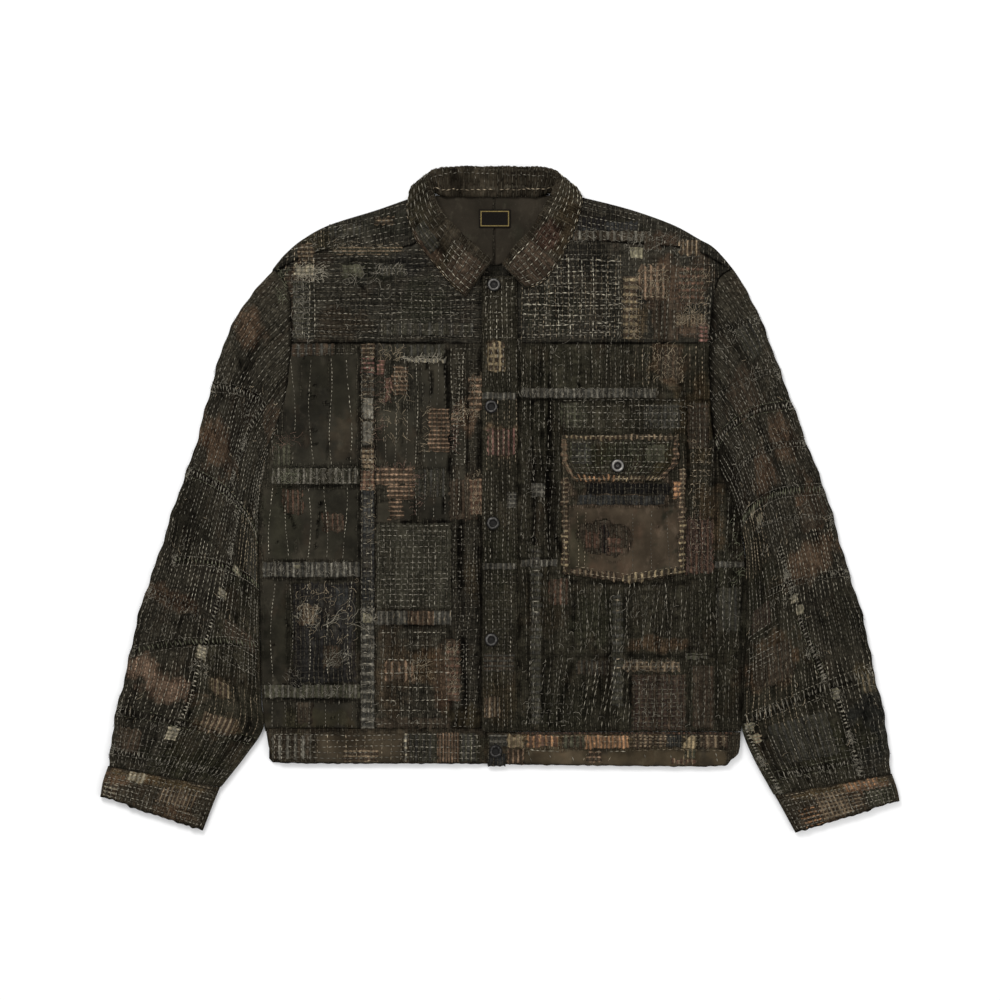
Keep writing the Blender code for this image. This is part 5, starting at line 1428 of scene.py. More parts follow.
for side in ("right", "left"):
    face = cuff_face(side)
    half = np.concatenate([[0, 0.5, 1.5, 3], np.linspace(5, 125, 60), [127, 128.5, 129.5, 130]])
    u = np.concatenate([half[::-1], -half[1:-8]])
    if side == "left":
        u = u[::-1]
    u, v = np.meshgrid(u, between(0, CUFF_DEEP, 1.8))
    tint = stained(u, v, [(14, 12, 16, 10, (2.48, 1.95, 1.71)) if side == "right" else
                          (30, 12, 26, 8, (2.81, 2.16, 1.94)), (60, 6, 50, 5, (1.84, 1.61, 1.28)),
                          (90, 34, 22, 12, (1.62, 1.38, 1.28))])
    # Painted shade darkens each cuff towards its wrist edge, where the band turns down.
    cuff = cut_cloth(f"cuff_{side}_cloth", face(u, v), np.dstack([u, -v]), BROWN, tint=tint,
                     shade_and_plain=np.clip((v - 39) / 10, 0, 0.6))
    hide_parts(f"cuff_{side}")
    outward = OUTWARD[side]
    cuff_rows = running_stitch(f"cuff_{side}_stitches", face, [
        (4, 3, 126, 42, "v", 6.4, 3.2, 2.2, "grey", 1.1, 0, 0.6),
        (4, 3, 126, 42, "u", 6.2, 3.4, 2.2, "pale", 1.1, 0, 0.6),
        (4, 1, 126, 5, "u", 3, 4, 1.4, "sand", 1.2, 0, 0.2),
        (-110, 6, -4, 40, "u", 8, 4.2, 3.2, "grey", 0.9, 0, 0.6)], up=outward, seed=73)
    cuff_scraps = sew_on(f"cuff_{side}_scraps", face, [
        (3, 22, 20, 40, "umber", "cream", 0, 6, 0.8, 0.6),
        (26, 1, 46, 13, "cream", "gold", 5, 0, 1.6, 0.6),
        (66, 10, 110, 30, "umber", "tan", 4.6, 0, 2, 0.5)] if side == "right" else [
        (18, 1, 56, 12, "orange", "clay", 5, 0, 1.6, 0.6),
        (42, 14, 55, 38, "umber", "tan", 0, 5, 0.8, 0.6),
        (57, 8, 92, 40, "umber", "tan", 4.6, 5, 1, 0.6),
        (94, 22, 116, 42, "brown", "clay", 0, 5, 1.8, 0.5),
        (3, 16, 38, 41, "olive", "moss", 4.5, 0, 1.4, 0.5)], up=outward, seed=74, step=1.6)

# ---------------------------------------------------------------------------------------
# Waistband. One doubled band in three stretches: across the back, the right front, and the
# left front, which laps over the right one and buttons. It is pieced from many scraps.
HEM = softened([(-262, -297), (-250, -302), (-30, -303), (40, -304), (240, -306),
                (264, -300), (276, -291)])
BAND_ENDS = {"right": [(-262.3, -269.5), (-283, -266), (-297, -260)],
             "left": [(-266.3, 277), (-283, 276), (-292, 274)]}
BAND_TOP, BAND_R, BAND_SIDES = 7.8, 3.9, (-269, 277)
BAND_CREASES = [
    (-240, -270, -236, -300, 6, 0.6), (-196, -268, -202, -302, 5, -0.5),
    (-150, -270, -144, -300, 6, 0.6), (-96, -268, -98, -302, 5, -0.5),
    (-60, -270, -54, -300, 5, 0.5), (40, -268, 36, -302, 6, 0.6), (88, -270, 94, -300, 5, -0.5),
    (150, -268, 146, -302, 6, 0.6), (204, -270, 210, -300, 5, -0.5),
    (250, -270, 246, -300, 6, 0.6)]


def band_z(x, y):
    """Height of the waistband's outer face, rolled under at the hem and at the side seams."""
    lift = crease(x, y, BAND_CREASES) + 0.3 * ripple(x, y, 22, 81) + 0.2 * ripple(x, y, 9, 82)
    hem = y - on_line(x, HEM)
    seam = -264.5 - y
    roll = np.clip(1 - hem / 3, 0, 1) ** 2 * 2.2 + np.clip(1 - seam / 2.5, 0, 1) ** 2 * 0.9
    inset = np.minimum(x - BAND_SIDES[0], BAND_SIDES[1] - x)
    return BAND_TOP + lift - roll - (BAND_R - rounded(inset, BAND_R))


band_face = lying(band_z)
BAND_STAINS = [
    (-160, -280, 60, 16, (1.3, 1.25, 1.2)), (-240, -284, 22, 14, (1.1, 1.1, 1)),
    (-80, -284, 20, 14, (0.75, 0.8, 0.78)), (-22, -284, 16, 16, (0.7, 0.75, 0.72)),
    (110, -274, 44, 6, (1.8, 1.6, 1.3)), (180, -274, 20, 6, (2.05, 1.72, 1.41)),
    (60, -292, 70, 12, (1.7, 1.62, 1.5)), (180, -294, 80, 12, (1.45, 1.38, 1.25)),
    (20, -272, 14, 5, (2.16, 1.84, 1.49))]
BAND_PLAIN = [(28, -310, 262, -285), (-214, -304, -112, -266)]
for side, near, outer, top in (("right", -13, -268, -262.3), ("left", -15, 276, -266.3)):
    ends = np.array(BAND_ENDS[side])
    share = np.concatenate([[0, 0.002, 0.006, 0.012], np.linspace(0.02, 1, 108)])
    level = np.linspace(0, 1, 20)[:, None]
    rough_x = outer * (1 - share) + near * share
    hem = on_line(rough_x, HEM) + 0.5 * ripple(rough_x, 0 * rough_x, 11, 83)
    y = top + (hem - top) * level
    edge = np.interp(-y[:, :1], -ends[:, 0], ends[:, 1])
    x = edge + (near - edge) * share
    if side == "left":
        x, y = x[:, ::-1], y[:, ::-1]
    z = band_z(x, y)
    if side == "right":
        dive = np.clip((x + 27) / 5, 0, 1)
        z = z * (1 - dive) + 4.6 * dive
    # Painted shade in the band's hollows, with two stretches left plain.
    shade_and_plain = smoothed(hollow(band_z, x, y, 3.0), x, y, BAND_PLAIN)
    band = cut_cloth(f"waistband_{side}_cloth", np.dstack([x, y, z])[::-1],
                     np.dstack([x, y])[::-1], BROWN, shade_and_plain=shade_and_plain[::-1],
                     tint=stained(x, y, BAND_STAINS)[::-1])
    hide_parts(f"waistband_{side}")
x = between(-266, 274, 4.0)
level = np.linspace(0, 1, 12)[:, None]
y = -266.6 + (on_line(x, HEM) + 266.6) * level
x = np.repeat(x[None], len(level), axis=0)
inset = np.minimum(x - BAND_SIDES[0], BAND_SIDES[1] - x)
z = 0.5 + 0.1 * (1 + ripple(x, y, 30, 84)) + np.clip(1 - inset / 4, 0, 1) * 3.0
waistband_back = cut_cloth("waistband_back_cloth", np.dstack([x, y, z]), np.dstack([x, y]), BROWN)
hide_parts("waistband_back")
back_band_rows = running_stitch(
    "waistband_back_stitches", lying(lambda u, v: 0.6),
    [(-255, -300, 262, -268, "u", 8.5, 4.4, 3.4, "grey", 0.85, 0.0, 0.6)], up=-1, seed=85)
right_band_rows = running_stitch("waistband_right_stitches", band_face, [
    (-262, -300, -20, -268, "u", 6.6, 3.8, 2.4, "grey", 1, 0, 0.8),
    (-214, -300, -108, -268, "v", 11, 3.4, 2.6, "sand", 1, 0, 0.5),
    (-262, -300, -214, -268, "v", 7.5, 3.6, 2.4, "pale", 1, 0, 0.5),
    (-48, -300, -20, -268, "v", 6.5, 3.6, 2.4, "pale", 1, 0, 0.5)], seed=86)
right_band_scraps = sew_on("waistband_right_scraps", band_face, [
    (-262, -298, -217, -270, "brown", "ash", 9, 0, 1, 0.6),
    (-110, -300, -107, -268, "ash", "cream", 0, 8, 0.6, 0.8),
    (-104, -300, -74, -268, "olive", "grey", 8, 0, 0.8, 0.5),
    (-72, -301, -47, -267, "umber", "orange", 3.4, 0, 0.7, 0.8),
    (-45, -300, -26, -268, "grey", "moss", 6, 0, 0.8, 0.5),
    (-180, -300, -140, -286, "umber", "tan", 0, 6, 1.2, 0.6)], seed=87, step=1.8)
left_band_rows = running_stitch("waistband_left_stitches", band_face, [
    (28, -288, 148, -285, "u", 2.4, 4.6, 1.6, "pale", 1, -0.02, 1.2),
    (150, -288, 262, -285, "u", 2.4, 4.4, 3, "sand", 0.9, 0, 1),
    (86, -304, 128, -286, "v", 15, 4.4, 1.6, "sand", 1, 0.5, 1),
    (28, -302, 84, -288, "v", 22, 4, 2, "grey", 1, -0.4, 2),
    (150, -302, 262, -288, "v", 30, 4, 2.4, "grey", 1, -0.3, 2),
    (20, -283, 268, -268, "u", 6.4, 3.4, 2.4, "sand", 0.9, 0, 0.6)], seed=88)
left_band_scraps = sew_on("waistband_left_scraps", band_face, [
    (-13, -284, 8, -269, "grey", "ash", 0, 7, 0.8, 0.6),
    (8, -284, 26, -270, "gold", "tan", 5, 0, 1.6, 0.8),
    (9, -303, 27, -286, "umber", "orange", 6, 0, 2, 0.6),
    (32, -283, 68, -270, "rust", "clay", 7, 0, 1.6, 0.6),
    (72, -284, 97, -270, "moss", "umber", 7, 0, 1.2, 0.6),
    (98, -285, 148, -270, "clay", "orange", 4.2, 0, 1.2, 0.8),
    (152, -284, 190, -269, "tan", "umber", 6, 4, 2.2, 0.8),
    (191, -283, 209, -269, "slate", "grey", 5, 0, 1, 0.6),
    (211, -285, 225, -271, "gold", "tan", 0, 0, 1.6, 0.9),
    (211, -296, 225, -286, "moss", "gold", 5, 0, 1.6, 0.5),
    (230, -284, 262, -269, "umber", "tan", 9, 0, 1.2, 0.6),
    (-14, -306, 6, -291, "slate", "coal", 0, 0, 0.8, 0.5),
    (100, -301, 116, -288, "umber", "orange", 0, 6, 2, 0.5),
    (196, -303, 226, -297, "rust", "tan", 5, 0, 1.6, 0.5),
    (20, -268.6, 268, -266.6, "wine", "rust", 6, 0, 0.3, 0.9)], seed=89, step=1.8)

# ---------------------------------------------------------------------------------------
# Button band. A narrow folded strip down the left front's edge, with the buttonholes in it,
# overstitched from top to bottom; bits of reddish and tan cloth are let into it.
BAND_X = (-21.0, 20.0)


def placket_z(x, y):
    """Height of the band, drawn down a little round each button."""
    lift = 0.3 * ripple(x, y, 26, 91) + 0.2 * ripple(x, y, 10, 92) + crease(x, y, [
        (-8, 230, -6, 120, 6, 0.5), (8, 200, 10, 40, 5, -0.5), (-12, 90, -10, -40, 6, 0.5),
        (10, 0, 8, -140, 5, -0.6), (-10, -110, -12, -240, 6, 0.6), (12, -180, 10, -262, 5, 0.5),
        (-21, 181, 20, 181, 2.5, -0.6), (-21, 122, 20, 124, 2.5, -0.6),
        (-21, -76, 20, -74, 2.5, -0.6)])
    edge = np.minimum(x - BAND_X[0], BAND_X[1] - x)
    for _, button_y in BUTTON_PLACES:
        lift = lift - 0.5 * np.exp(-((x + 8) ** 2 + (y - button_y) ** 2) / 150)
    return 9.0 + lift - 0.9 * np.clip(1 - edge / 2, 0, 1) ** 2


BUTTON_PLACES = [(-7, 248), (-10, 108), (-8, -26), (-10, -160)]      # x, y


placket_face = lying(placket_z)
x, y = np.meshgrid(between(BAND_X[0], BAND_X[1], 1.9), between(WAIST_Y, 258, 2.2))
x = x + 0.5 * np.where(np.abs(x) > 18, ripple(x * 0, y, 12, 93), 0)
# Painted shade in the hollows of the button band.
placket = cut_cloth("placket_cloth", np.dstack([x, y, placket_z(x, y)]), np.dstack([x, y]), OLIVE,
                    shade_and_plain=hollow(placket_z, x, y, 3.0), tint=stained(x, y, [
                        (4, 70, 22, 16, (2.38, 1.83, 1.64)), (-6, 164, 10, 18, (2.16, 1.72, 1.49)),
                        (0, -60, 22, 40, (0.75, 0.78, 0.75)), (0, -230, 20, 30, (1.1, 1, 0.9)),
                        (0, 130, 20, 24, (0.8, 0.82, 0.82))]))
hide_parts("placket")
placket_rows = running_stitch("placket_stitches", placket_face, [
    (-19, 184, 19, 256, "v", 6.2, 3.8, 2.2, "pale", 1.05, 0, 0.6),
    (-19, 184, 19, 256, "u", 9.5, 3, 3, "grey", 1, 0, 0.4),
    (-19, 126, 19, 180, "v", 6.4, 3.6, 2.4, "grey", 1, 0, 0.6),
    (-19, 34, 19, 120, "v", 7, 3.6, 2.4, "sand", 1, 0, 0.6),
    (-19, -72, 19, 34, "v", 6.6, 3.6, 2.4, "grey", 1, 0, 0.8),
    (-19, -262, 19, -78, "v", 6.6, 3.6, 2.4, "grey", 1, 0, 0.8),
    (-19, -170, 19, -78, "u", 10, 3, 3, "dim", 1, 0, 0.4)], seed=94)
placket_scraps = sew_on("placket_scraps", placket_face, [
    (-14, 148, 5, 182, "umber", "gold", 7, 9, 0.9, 0.6),
    (-14, 52, 18, 82, "brown", "pink", 6, 0, 1.2, 0.5),
    (-20, 116, 19, 124, "grey", "ash", 6, 0, 0.7, 0.6),
    (8, -8, 19, 10, "grey", "ash", 0, 5, 0.8, 0.6),
    (-18, -196, 16, -176, "brown", "grey", 0, 6, 1.2, 0.5),
    (-18, -250, 0, -226, "umber", "tan", 6, 0, 1, 0.5),
    (-20, -79, 19, -72, "grey", "ash", 6, 0, 0.6, 0.6)], seed=95, step=1.8)

# ---------------------------------------------------------------------------------------
# Chest pocket and flap. A patch pocket edged with gold thread, its bag worn through in a
# scalloped hole that shows a red-brown cloth behind, under a buttoned flap of checked cloth.
POCKET_LEFT, POCKET_TOP, POCKET_WIDE, POCKET_DEEP = 71, 66, 142, 149


def pocket_face(u, v):
    """u across from the left edge and v down from the top, on the sagging pocket."""
    down = np.clip(v / POCKET_DEEP, 0, 1)
    x = POCKET_LEFT + u
    sag = 12 * np.clip(1 - np.abs(x - 145) / 75, 0, 1) * np.clip((down - 0.55) / 0.45, 0, 1)
    y = POCKET_TOP - v - sag
    lift = crease(u, v, [
        (20, 60, 16, 140, 6, 0.6), (62, 70, 70, 150, 6, -0.6), (90, 60, 86, 150, 7, 0.7),
        (112, 50, 108, 150, 6, -0.6), (126, 40, 128, 140, 5, 0.6)])
    lift = lift + 0.3 * ripple(u, v, 20, 101) + 0.2 * ripple(u, v, 9, 102)
    edge = np.minimum(np.minimum(u, POCKET_WIDE - u), POCKET_DEEP - v)
    return np.stack([x, y, 9.2 + lift - 1.0 * np.clip(1 - edge / 2, 0, 1) ** 2], axis=-1)


u, v = np.meshgrid(between(0, POCKET_WIDE, 1.8), between(0, POCKET_DEEP, 1.8))
worn_edge = np.clip((v - 143) / 6, 0, 1) * 1.6 * ripple(u, v * 0, 8, 103)
points = pocket_face(u, v)[::-1]
points[..., 1] += worn_edge[::-1]
pocket_tint = stained(u, v, [
    (86, 76, 30, 22, (0.7, 0.72, 0.66)), (30, 60, 20, 12, (0.6, 0.6, 0.58)),
    (116, 94, 13, 30, (0.62, 0.65, 0.68)), (70, 104, 90, 60, (1.9, 1.6, 1.6)),
    (20, 120, 14, 30, (1.2, 1.15, 1.1))])
# Painted shade in the pocket's hollows, with its lower part left plain.
pocket_shade_and_plain = smoothed(hollow(lambda a, b: pocket_face(a, b)[..., 2], u, v, 3.0), u, v,
                      [(6, 72, 136, 144)])
HOLES = [  # u, v of each scallop; its half sizes
    (30, 104, 12, 11), (47, 100, 14, 12), (66, 108, 13, 14), (40, 118, 14, 10), (58, 121, 12, 9)]
from_hole = np.min([np.hypot((u - a) / wide, (v - b) / high) for a, b, wide, high in HOLES], axis=0)
# Painted shadow round the rim of the worn hole, strongest at its upper side.
rim = np.clip(1 - np.abs(from_hole - 1.0) / 0.3, 0, 1) * np.clip(1.25 - (v - 96) / 30, 0.25, 1)
pocket_shade_and_plain = pocket_shade_and_plain + rim * (1 - pocket_shade_and_plain)
pocket = cut_cloth("pocket_cloth", points, np.dstack([u, -v])[::-1], OLIVE,
                   shade_and_plain=pocket_shade_and_plain[::-1], tint=pocket_tint[::-1])


def in_hole(vert):
    """Whether a point of the pocket lies in the worn hole, with its ragged rim."""
    across, down = vert.co.x / MM - POCKET_LEFT, POCKET_TOP - vert.co.y / MM
    rag = 0.12 * float(ripple(across, down, 6, 104))
    return any(math.hypot((across - a) / wide, (down - b) / high) + rag < 0.9
               for a, b, wide, high in HOLES)


cut_away(pocket, in_hole)
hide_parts("pocket")
pocket_rows = running_stitch("pocket_stitches", pocket_face, [
    (12, 76, 30, 142, "v", 9, 2.4, 3, "sand", 0.8, 0, 0.8),
    (72, 76, 134, 142, "v", 20, 2.4, 2.6, "dim", 0.8, 0.02, 1.2),
    (10, 136, 134, 147, "u", 5.5, 3.6, 2.2, "sand", 1, 0, 0.5),
    (0.8, 4, 3.2, 146, "v", 2.4, 3.8, 1.6, "sand", 1.2, 0, 0.2),
    (138.6, 4, 141.2, 146, "v", 2.4, 3.8, 1.6, "sand", 1.2, 0, 0.2)],
    up=-1, seed=105, within=lambda a, b: np.hypot((a - 50) / 38, (b - 110) / 22) > 0.85)
pocket_scraps = sew_on("pocket_scraps", pocket_face, [
    (0.5, 40, 7, 96, "umber", "tan", 0, 5.5, 1.8, 0.6),
    (0.5, 94, 7, 148, "umber", "gold", 0, 6.5, 2, 0.7),
    (135, 30, 141.5, 90, "umber", "tan", 0, 5.5, 1.8, 0.6),
    (135, 88, 141.5, 148, "umber", "gold", 0, 6.5, 2, 0.7),
    (128, 44, 136, 64, "clay", "rust", 0, 6, 1.6, 0.8),
    (8, 141, 60, 148.5, "umber", "tan", 6.5, 0, 2.2, 0.6),
    (70, 141, 134, 148.5, "brown", "gold", 7.5, 0, 2.2, 0.6)], up=-1, seed=106, step=1.8)
behind_hole = sew_on("pocket_hole_cloth", lambda a, b: pocket_face(a, b) - np.array([0, 0, 1.0]), [
    (16, 88, 82, 134, "brown", "umber", 0, 0, 0.4, 0),
    (26, 100, 45, 118, "rust", "umber", 9, 0, 3, 0.2),
    (50, 104, 70, 121, "rust", "umber", 0, 9, 3, 0.2),
    (44, 92, 54, 128, "wine", "night", 5, 0, 2, 0.3)], up=-1, seed=107, step=1.8)

FLAP_WIDE, FLAP_DEEP = 136, 54
FLAP_EDGE = np.array([(0, 70, 206), (32, 71, 205), (54, 84, 185)], float)  # v; left x; right x


def flap_face(u, v):
    """u from 0 at the left edge to 136 at the right one, and v down from the top seam."""
    left = np.interp(v, FLAP_EDGE[:, 0], FLAP_EDGE[:, 1])
    right = np.interp(v, FLAP_EDGE[:, 0], FLAP_EDGE[:, 2])
    x = left + (right - left) * u / FLAP_WIDE
    lift = crease(u, v, [
        (30, 4, 36, 50, 6, 0.5), (60, 0, 56, 50, 7, -0.6), (96, 4, 100, 50, 7, 0.5)])
    under_button = np.exp(-((x - 135) ** 2 + (v - 36) ** 2) / 160)
    lift = lift + 0.25 * ripple(u, v, 18, 111) - 0.5 * under_button
    edge = np.minimum(np.minimum(u, FLAP_WIDE - u), FLAP_DEEP - v)
    return np.stack([x, 76 - v, 11.2 + lift - 1.1 * np.clip(1 - edge / 2, 0, 1) ** 2], axis=-1)


u, v = np.meshgrid(between(0, FLAP_WIDE, 1.8), between(0, FLAP_DEEP, 1.8))
flap = cut_cloth("pocket_flap_cloth", flap_face(u, v)[::-1], np.dstack([u, -v])[::-1], OLIVE,
                 tint=stained(u, v, [
                     (40, 24, 30, 14, (0.8, 0.85, 0.75)), (92, 22, 24, 14, (0.75, 0.8, 0.78)),
                     (120, 28, 10, 20, (1.2, 1.1, 0.9))])[::-1])
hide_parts("pocket_flap")
flap_rows = running_stitch("pocket_flap_stitches", flap_face, [
    (8, 6, 128, 48, "u", 7, 3.6, 2.2, "grey", 1.05, 0, 0.5),
    (8, 6, 128, 48, "v", 8.5, 3.4, 2.4, "moss", 1, 0, 0.5),
    (1, 1, 135, 4, "u", 2.6, 3.8, 1.5, "sand", 1.25, 0, 0.2),
    (1, 49, 135, 53, "u", 2.6, 3.8, 1.5, "sand", 1.25, 0, 0.2)], up=-1, seed=112)
flap_scraps = sew_on("pocket_flap_scraps", flap_face, [
    (1, 0.5, 70, 6, "umber", "gold", 5.6, 0, 1.8, 0.7),
    (68, 0.5, 135, 6, "brown", "tan", 6.6, 0, 1.8, 0.6),
    (0.5, 6, 6, 52, "tan", "orange", 0, 6, 1.6, 0.7),
    (129.5, 6, 135.5, 52, "umber", "orange", 0, 5.5, 1.6, 0.7),
    (6, 48, 66, 53.5, "brown", "clay", 7, 0, 1.8, 0.6),
    (64, 48, 130, 53.5, "umber", "gold", 6, 0, 1.8, 0.7),
    (98, 12, 120, 32, "moss", "olive", 0, 0, 1, 0.4),
    (12, 10, 34, 34, "olive", "grey", 8, 8, 1, 0.4)], up=-1, seed=113, step=1.8)

# ---------------------------------------------------------------------------------------
# Collar. One folded piece: it stands up from the neck seam, rolls over and falls to the
# leaf edge. Each leaf is covered with lengthwise stitching, and the right one has a
# brown checked patch towards its point.
COLLAR = softened([  # neck seam x, y, z; roll x, y, z; leaf edge x, y, z; right end to left
    (-13, 270, 4.8, -8, 276, 11.5, -40, 233, 8.8), (-33, 283, 4.8, -28, 293, 12.5, -57, 249, 8.8),
    (-53, 299, 4.8, -47, 311, 13.5, -72, 266, 8.8), (-66, 314, 4.8, -58, 322, 14.5, -92, 292, 8.8),
    (-77, 331, 4.8, -70, 339, 16, -105, 316, 8.9), (-82, 344, 5.2, -77, 356, 18, -107, 340, 9.6),
    (-77, 353, 5.6, -82, 374, 19, -101, 363, 6.4), (-62, 349, 5.4, -66, 381, 19, -77, 364, 0.6),
    (-40, 349, 5.4, -40, 382.4, 19, -42, 358, 0.3), (-8, 349, 5.4, -9, 382.4, 19, -8, 357, 0.3),
    (24, 349, 5.4, 24, 382.4, 19, 25, 358, 0.3), (46, 349, 5.4, 52, 381, 19, 62, 364, 0.6),
    (60, 353, 5.6, 67, 374, 19, 86, 363, 6.4), (66, 345, 5.2, 60, 356, 18, 95, 345, 9.6),
    (62, 333, 4.8, 51, 340, 16, 91, 326, 8.9), (53, 317, 4.8, 43, 325, 14.5, 82, 302, 8.8),
    (41, 301, 4.8, 31, 307, 13.5, 68, 274, 8.8), (23, 286, 4.8, 14, 290, 13, 49, 250, 9.8),
    (8, 271, 4.8, 2, 272, 12.5, 28, 244, 11.2)], 14)
ROLL_R = 2.6


def collar_points():
    """Grid over the collar: a row for each place round the neck, leaf edge to neck seam."""
    neck, roll, leaf = COLLAR[:, 0:3], COLLAR[:, 3:6], COLLAR[:, 6:9]
    way = (leaf + roll - 2 * neck)[:, :2]
    way /= np.linalg.norm(way, axis=1, keepdims=True)
    middle = (neck + leaf) / 2
    reach = np.sum((roll - middle)[:, :2] * way, axis=1)
    rise = (roll - middle)[:, 2]
    size = np.hypot(reach, rise)
    reach, rise = (reach / size)[:, None], (rise / size)[:, None]
    to_roll = np.hstack([way * reach, rise])
    to_leaf = np.hstack([way * rise, -reach])
    centre = roll - to_roll * ROLL_R
    columns = []
    first = centre + ROLL_R * to_leaf
    last = centre - ROLL_R * to_leaf
    for part in np.linspace(0, 1, 20)[:-1]:
        bow = 1.6 * math.sin(math.pi * part) * (1 - 0.4 * part)
        columns.append(leaf + (first - leaf) * part + np.array([0, 0, bow]))
    for turn in np.radians(np.linspace(0, 180, 9)):
        columns.append(centre + ROLL_R * (to_leaf * math.cos(turn) + to_roll * math.sin(turn)))
    for part in np.linspace(0, 1, 11)[1:]:
        columns.append(last + (neck - last) * part)
    return np.stack(columns, axis=1)


collar_base = collar_points()
collar_u, collar_v = run_along(COLLAR[:, 3:6]), run_along(collar_base[20])
COLLAR_LONG, COLLAR_DEEP = collar_u[-1], collar_v[-1]


def on_grid(points, u, v, rows, columns):
    """Place in a grid of points for u along its rows and v along its columns."""
    i = np.clip(np.interp(u, rows, np.arange(len(rows))), 0, len(rows) - 1.001)
    j = np.clip(np.interp(v, columns, np.arange(len(columns))), 0, len(columns) - 1.001)
    i0, j0 = i.astype(int), j.astype(int)
    a, b = (i - i0)[..., None], (j - j0)[..., None]
    return (points[i0, j0] * (1 - a) * (1 - b) + points[i0 + 1, j0] * a * (1 - b)
            + points[i0, j0 + 1] * (1 - a) * b + points[i0 + 1, j0 + 1] * a * b)


def collar_face(u, v):
    """u round the neck from the right end, v from the leaf edge over the roll to the seam."""
    return on_grid(collar_shape, u, v, collar_u, collar_v)


out = facing(collar_base)
u, v = np.meshgrid(collar_u, collar_v, indexing="ij")
lift = 0.45 * ripple(u, v, 26, 121) + 0.28 * ripple(u, v, 11, 122)
lift += crease(u, v, [
    (10, 4, 60, 10, 5, 0.7), (30, 24, 80, 18, 6, -0.6), (330, 8, 290, 20, 6, 0.7),
    (120, 10, 150, 30, 7, 0.6), (200, 20, 240, 10, 7, 0.6)])
edge = np.minimum(v, np.minimum(u, COLLAR_LONG - u))
lift -= 0.8 * np.clip(1 - edge / 2.5, 0, 1) ** 2
ragged = 0.8 * ripple(u, v * 0, 10, 123) * np.clip(1 - v / 5, 0, 1)
collar_shape = collar_base + out * lift[..., None]
leafward = collar_base[:, :1] - collar_base[:, 1:2]
leafward /= np.linalg.norm(leafward, axis=2, keepdims=True)
collar_shape = collar_shape + leafward * ragged[..., None]
# Painted shade in the collar's troughs, clear of its edges.
collar_crease_shade = np.clip(-lift * 0.9 - 0.1, 0, 0.8) * (edge > 3)
collar = cut_cloth(
    "collar_cloth", collar_shape, np.dstack([u, v]), BROWN, shade_and_plain=collar_crease_shade,
    tint=stained(u, v, [
        (34, 14, 34, 22, (1, 0.95, 0.85)), (110, 20, 40, 24, (0.75, 0.78, 0.72)),
        (260, 20, 60, 24, (0.85, 0.86, 0.8)), (330, 16, 30, 20, (1, 0.92, 0.8)),
        (190, 40, 90, 16, (0.7, 0.72, 0.68)), (70, 10, 14, 14, (1.51, 1.26, 1.22)),
        (350, 30, 20, 14, (1.62, 1.21, 1.22))]))
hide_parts("collar")
collar_rows = running_stitch("collar_stitches", collar_face, [
    (1, 2, 52, 44, "v", 8.5, 4, 1.6, "grey", 0.95, 0, 0.4),
    (1, 2, 58, 44, "u", 7.2, 5.4, 0.6, "pale", 1, 0, 0.4),
    (58, 2, 130, 44, "u", 6.8, 7, 0.8, "grey", 0.95, 0, 0.8),
    (COLLAR_LONG - 130, 2, COLLAR_LONG - 2, 44, "u", 6.8, 5.4, 0.6, "pale", 1, 0, 0.6),
    (COLLAR_LONG - 40, 2, COLLAR_LONG - 2, 44, "v", 13, 3.4, 2.6, "dim", 0.9, 0, 0.4),
    (130, 2, COLLAR_LONG - 130, 24, "u", 6.2, 4, 2.4, "grey", 1, 0, 0.8),
    (120, 30, COLLAR_LONG - 120, COLLAR_DEEP - 4, "u", 6.4, 3.8, 2.4, "grey", 1, 0, 0.6),
    (120, 30, COLLAR_LONG - 120, COLLAR_DEEP - 4, "v", 9, 3.2, 3, "dim", 1, 0, 0.6),
    (100, COLLAR_DEEP - 4, COLLAR_LONG - 100, COLLAR_DEEP - 1, "u", 3, 4.6, 1.6, "sand", 1.2, 0,
     0.1),
    (2, 0.6, COLLAR_LONG - 2, 2.4, "u", 1.8, 3.6, 1.8, "sand", 1, 0, 0.1)], up=-1, seed=124)
collar_scraps = sew_on("collar_scraps", collar_face, [
    (3, 3, 44, 42, "umber", "brown", 0, 0, 0.8, 0.4),
    (60, 6, 84, 24, "olive", "grey", 0, 6, 1, 0.45),
    (150, 4, 190, 20, "grey", "ash", 8, 0, 1, 0.45),
    (COLLAR_LONG - 44, 3, COLLAR_LONG - 3, 42, "umber", "brown", 0, 0, 1, 0.3),
    (226, 4, 260, 22, "olive", "moss", 0, 7, 1, 0.45)], up=-1, seed=125, step=1.8)

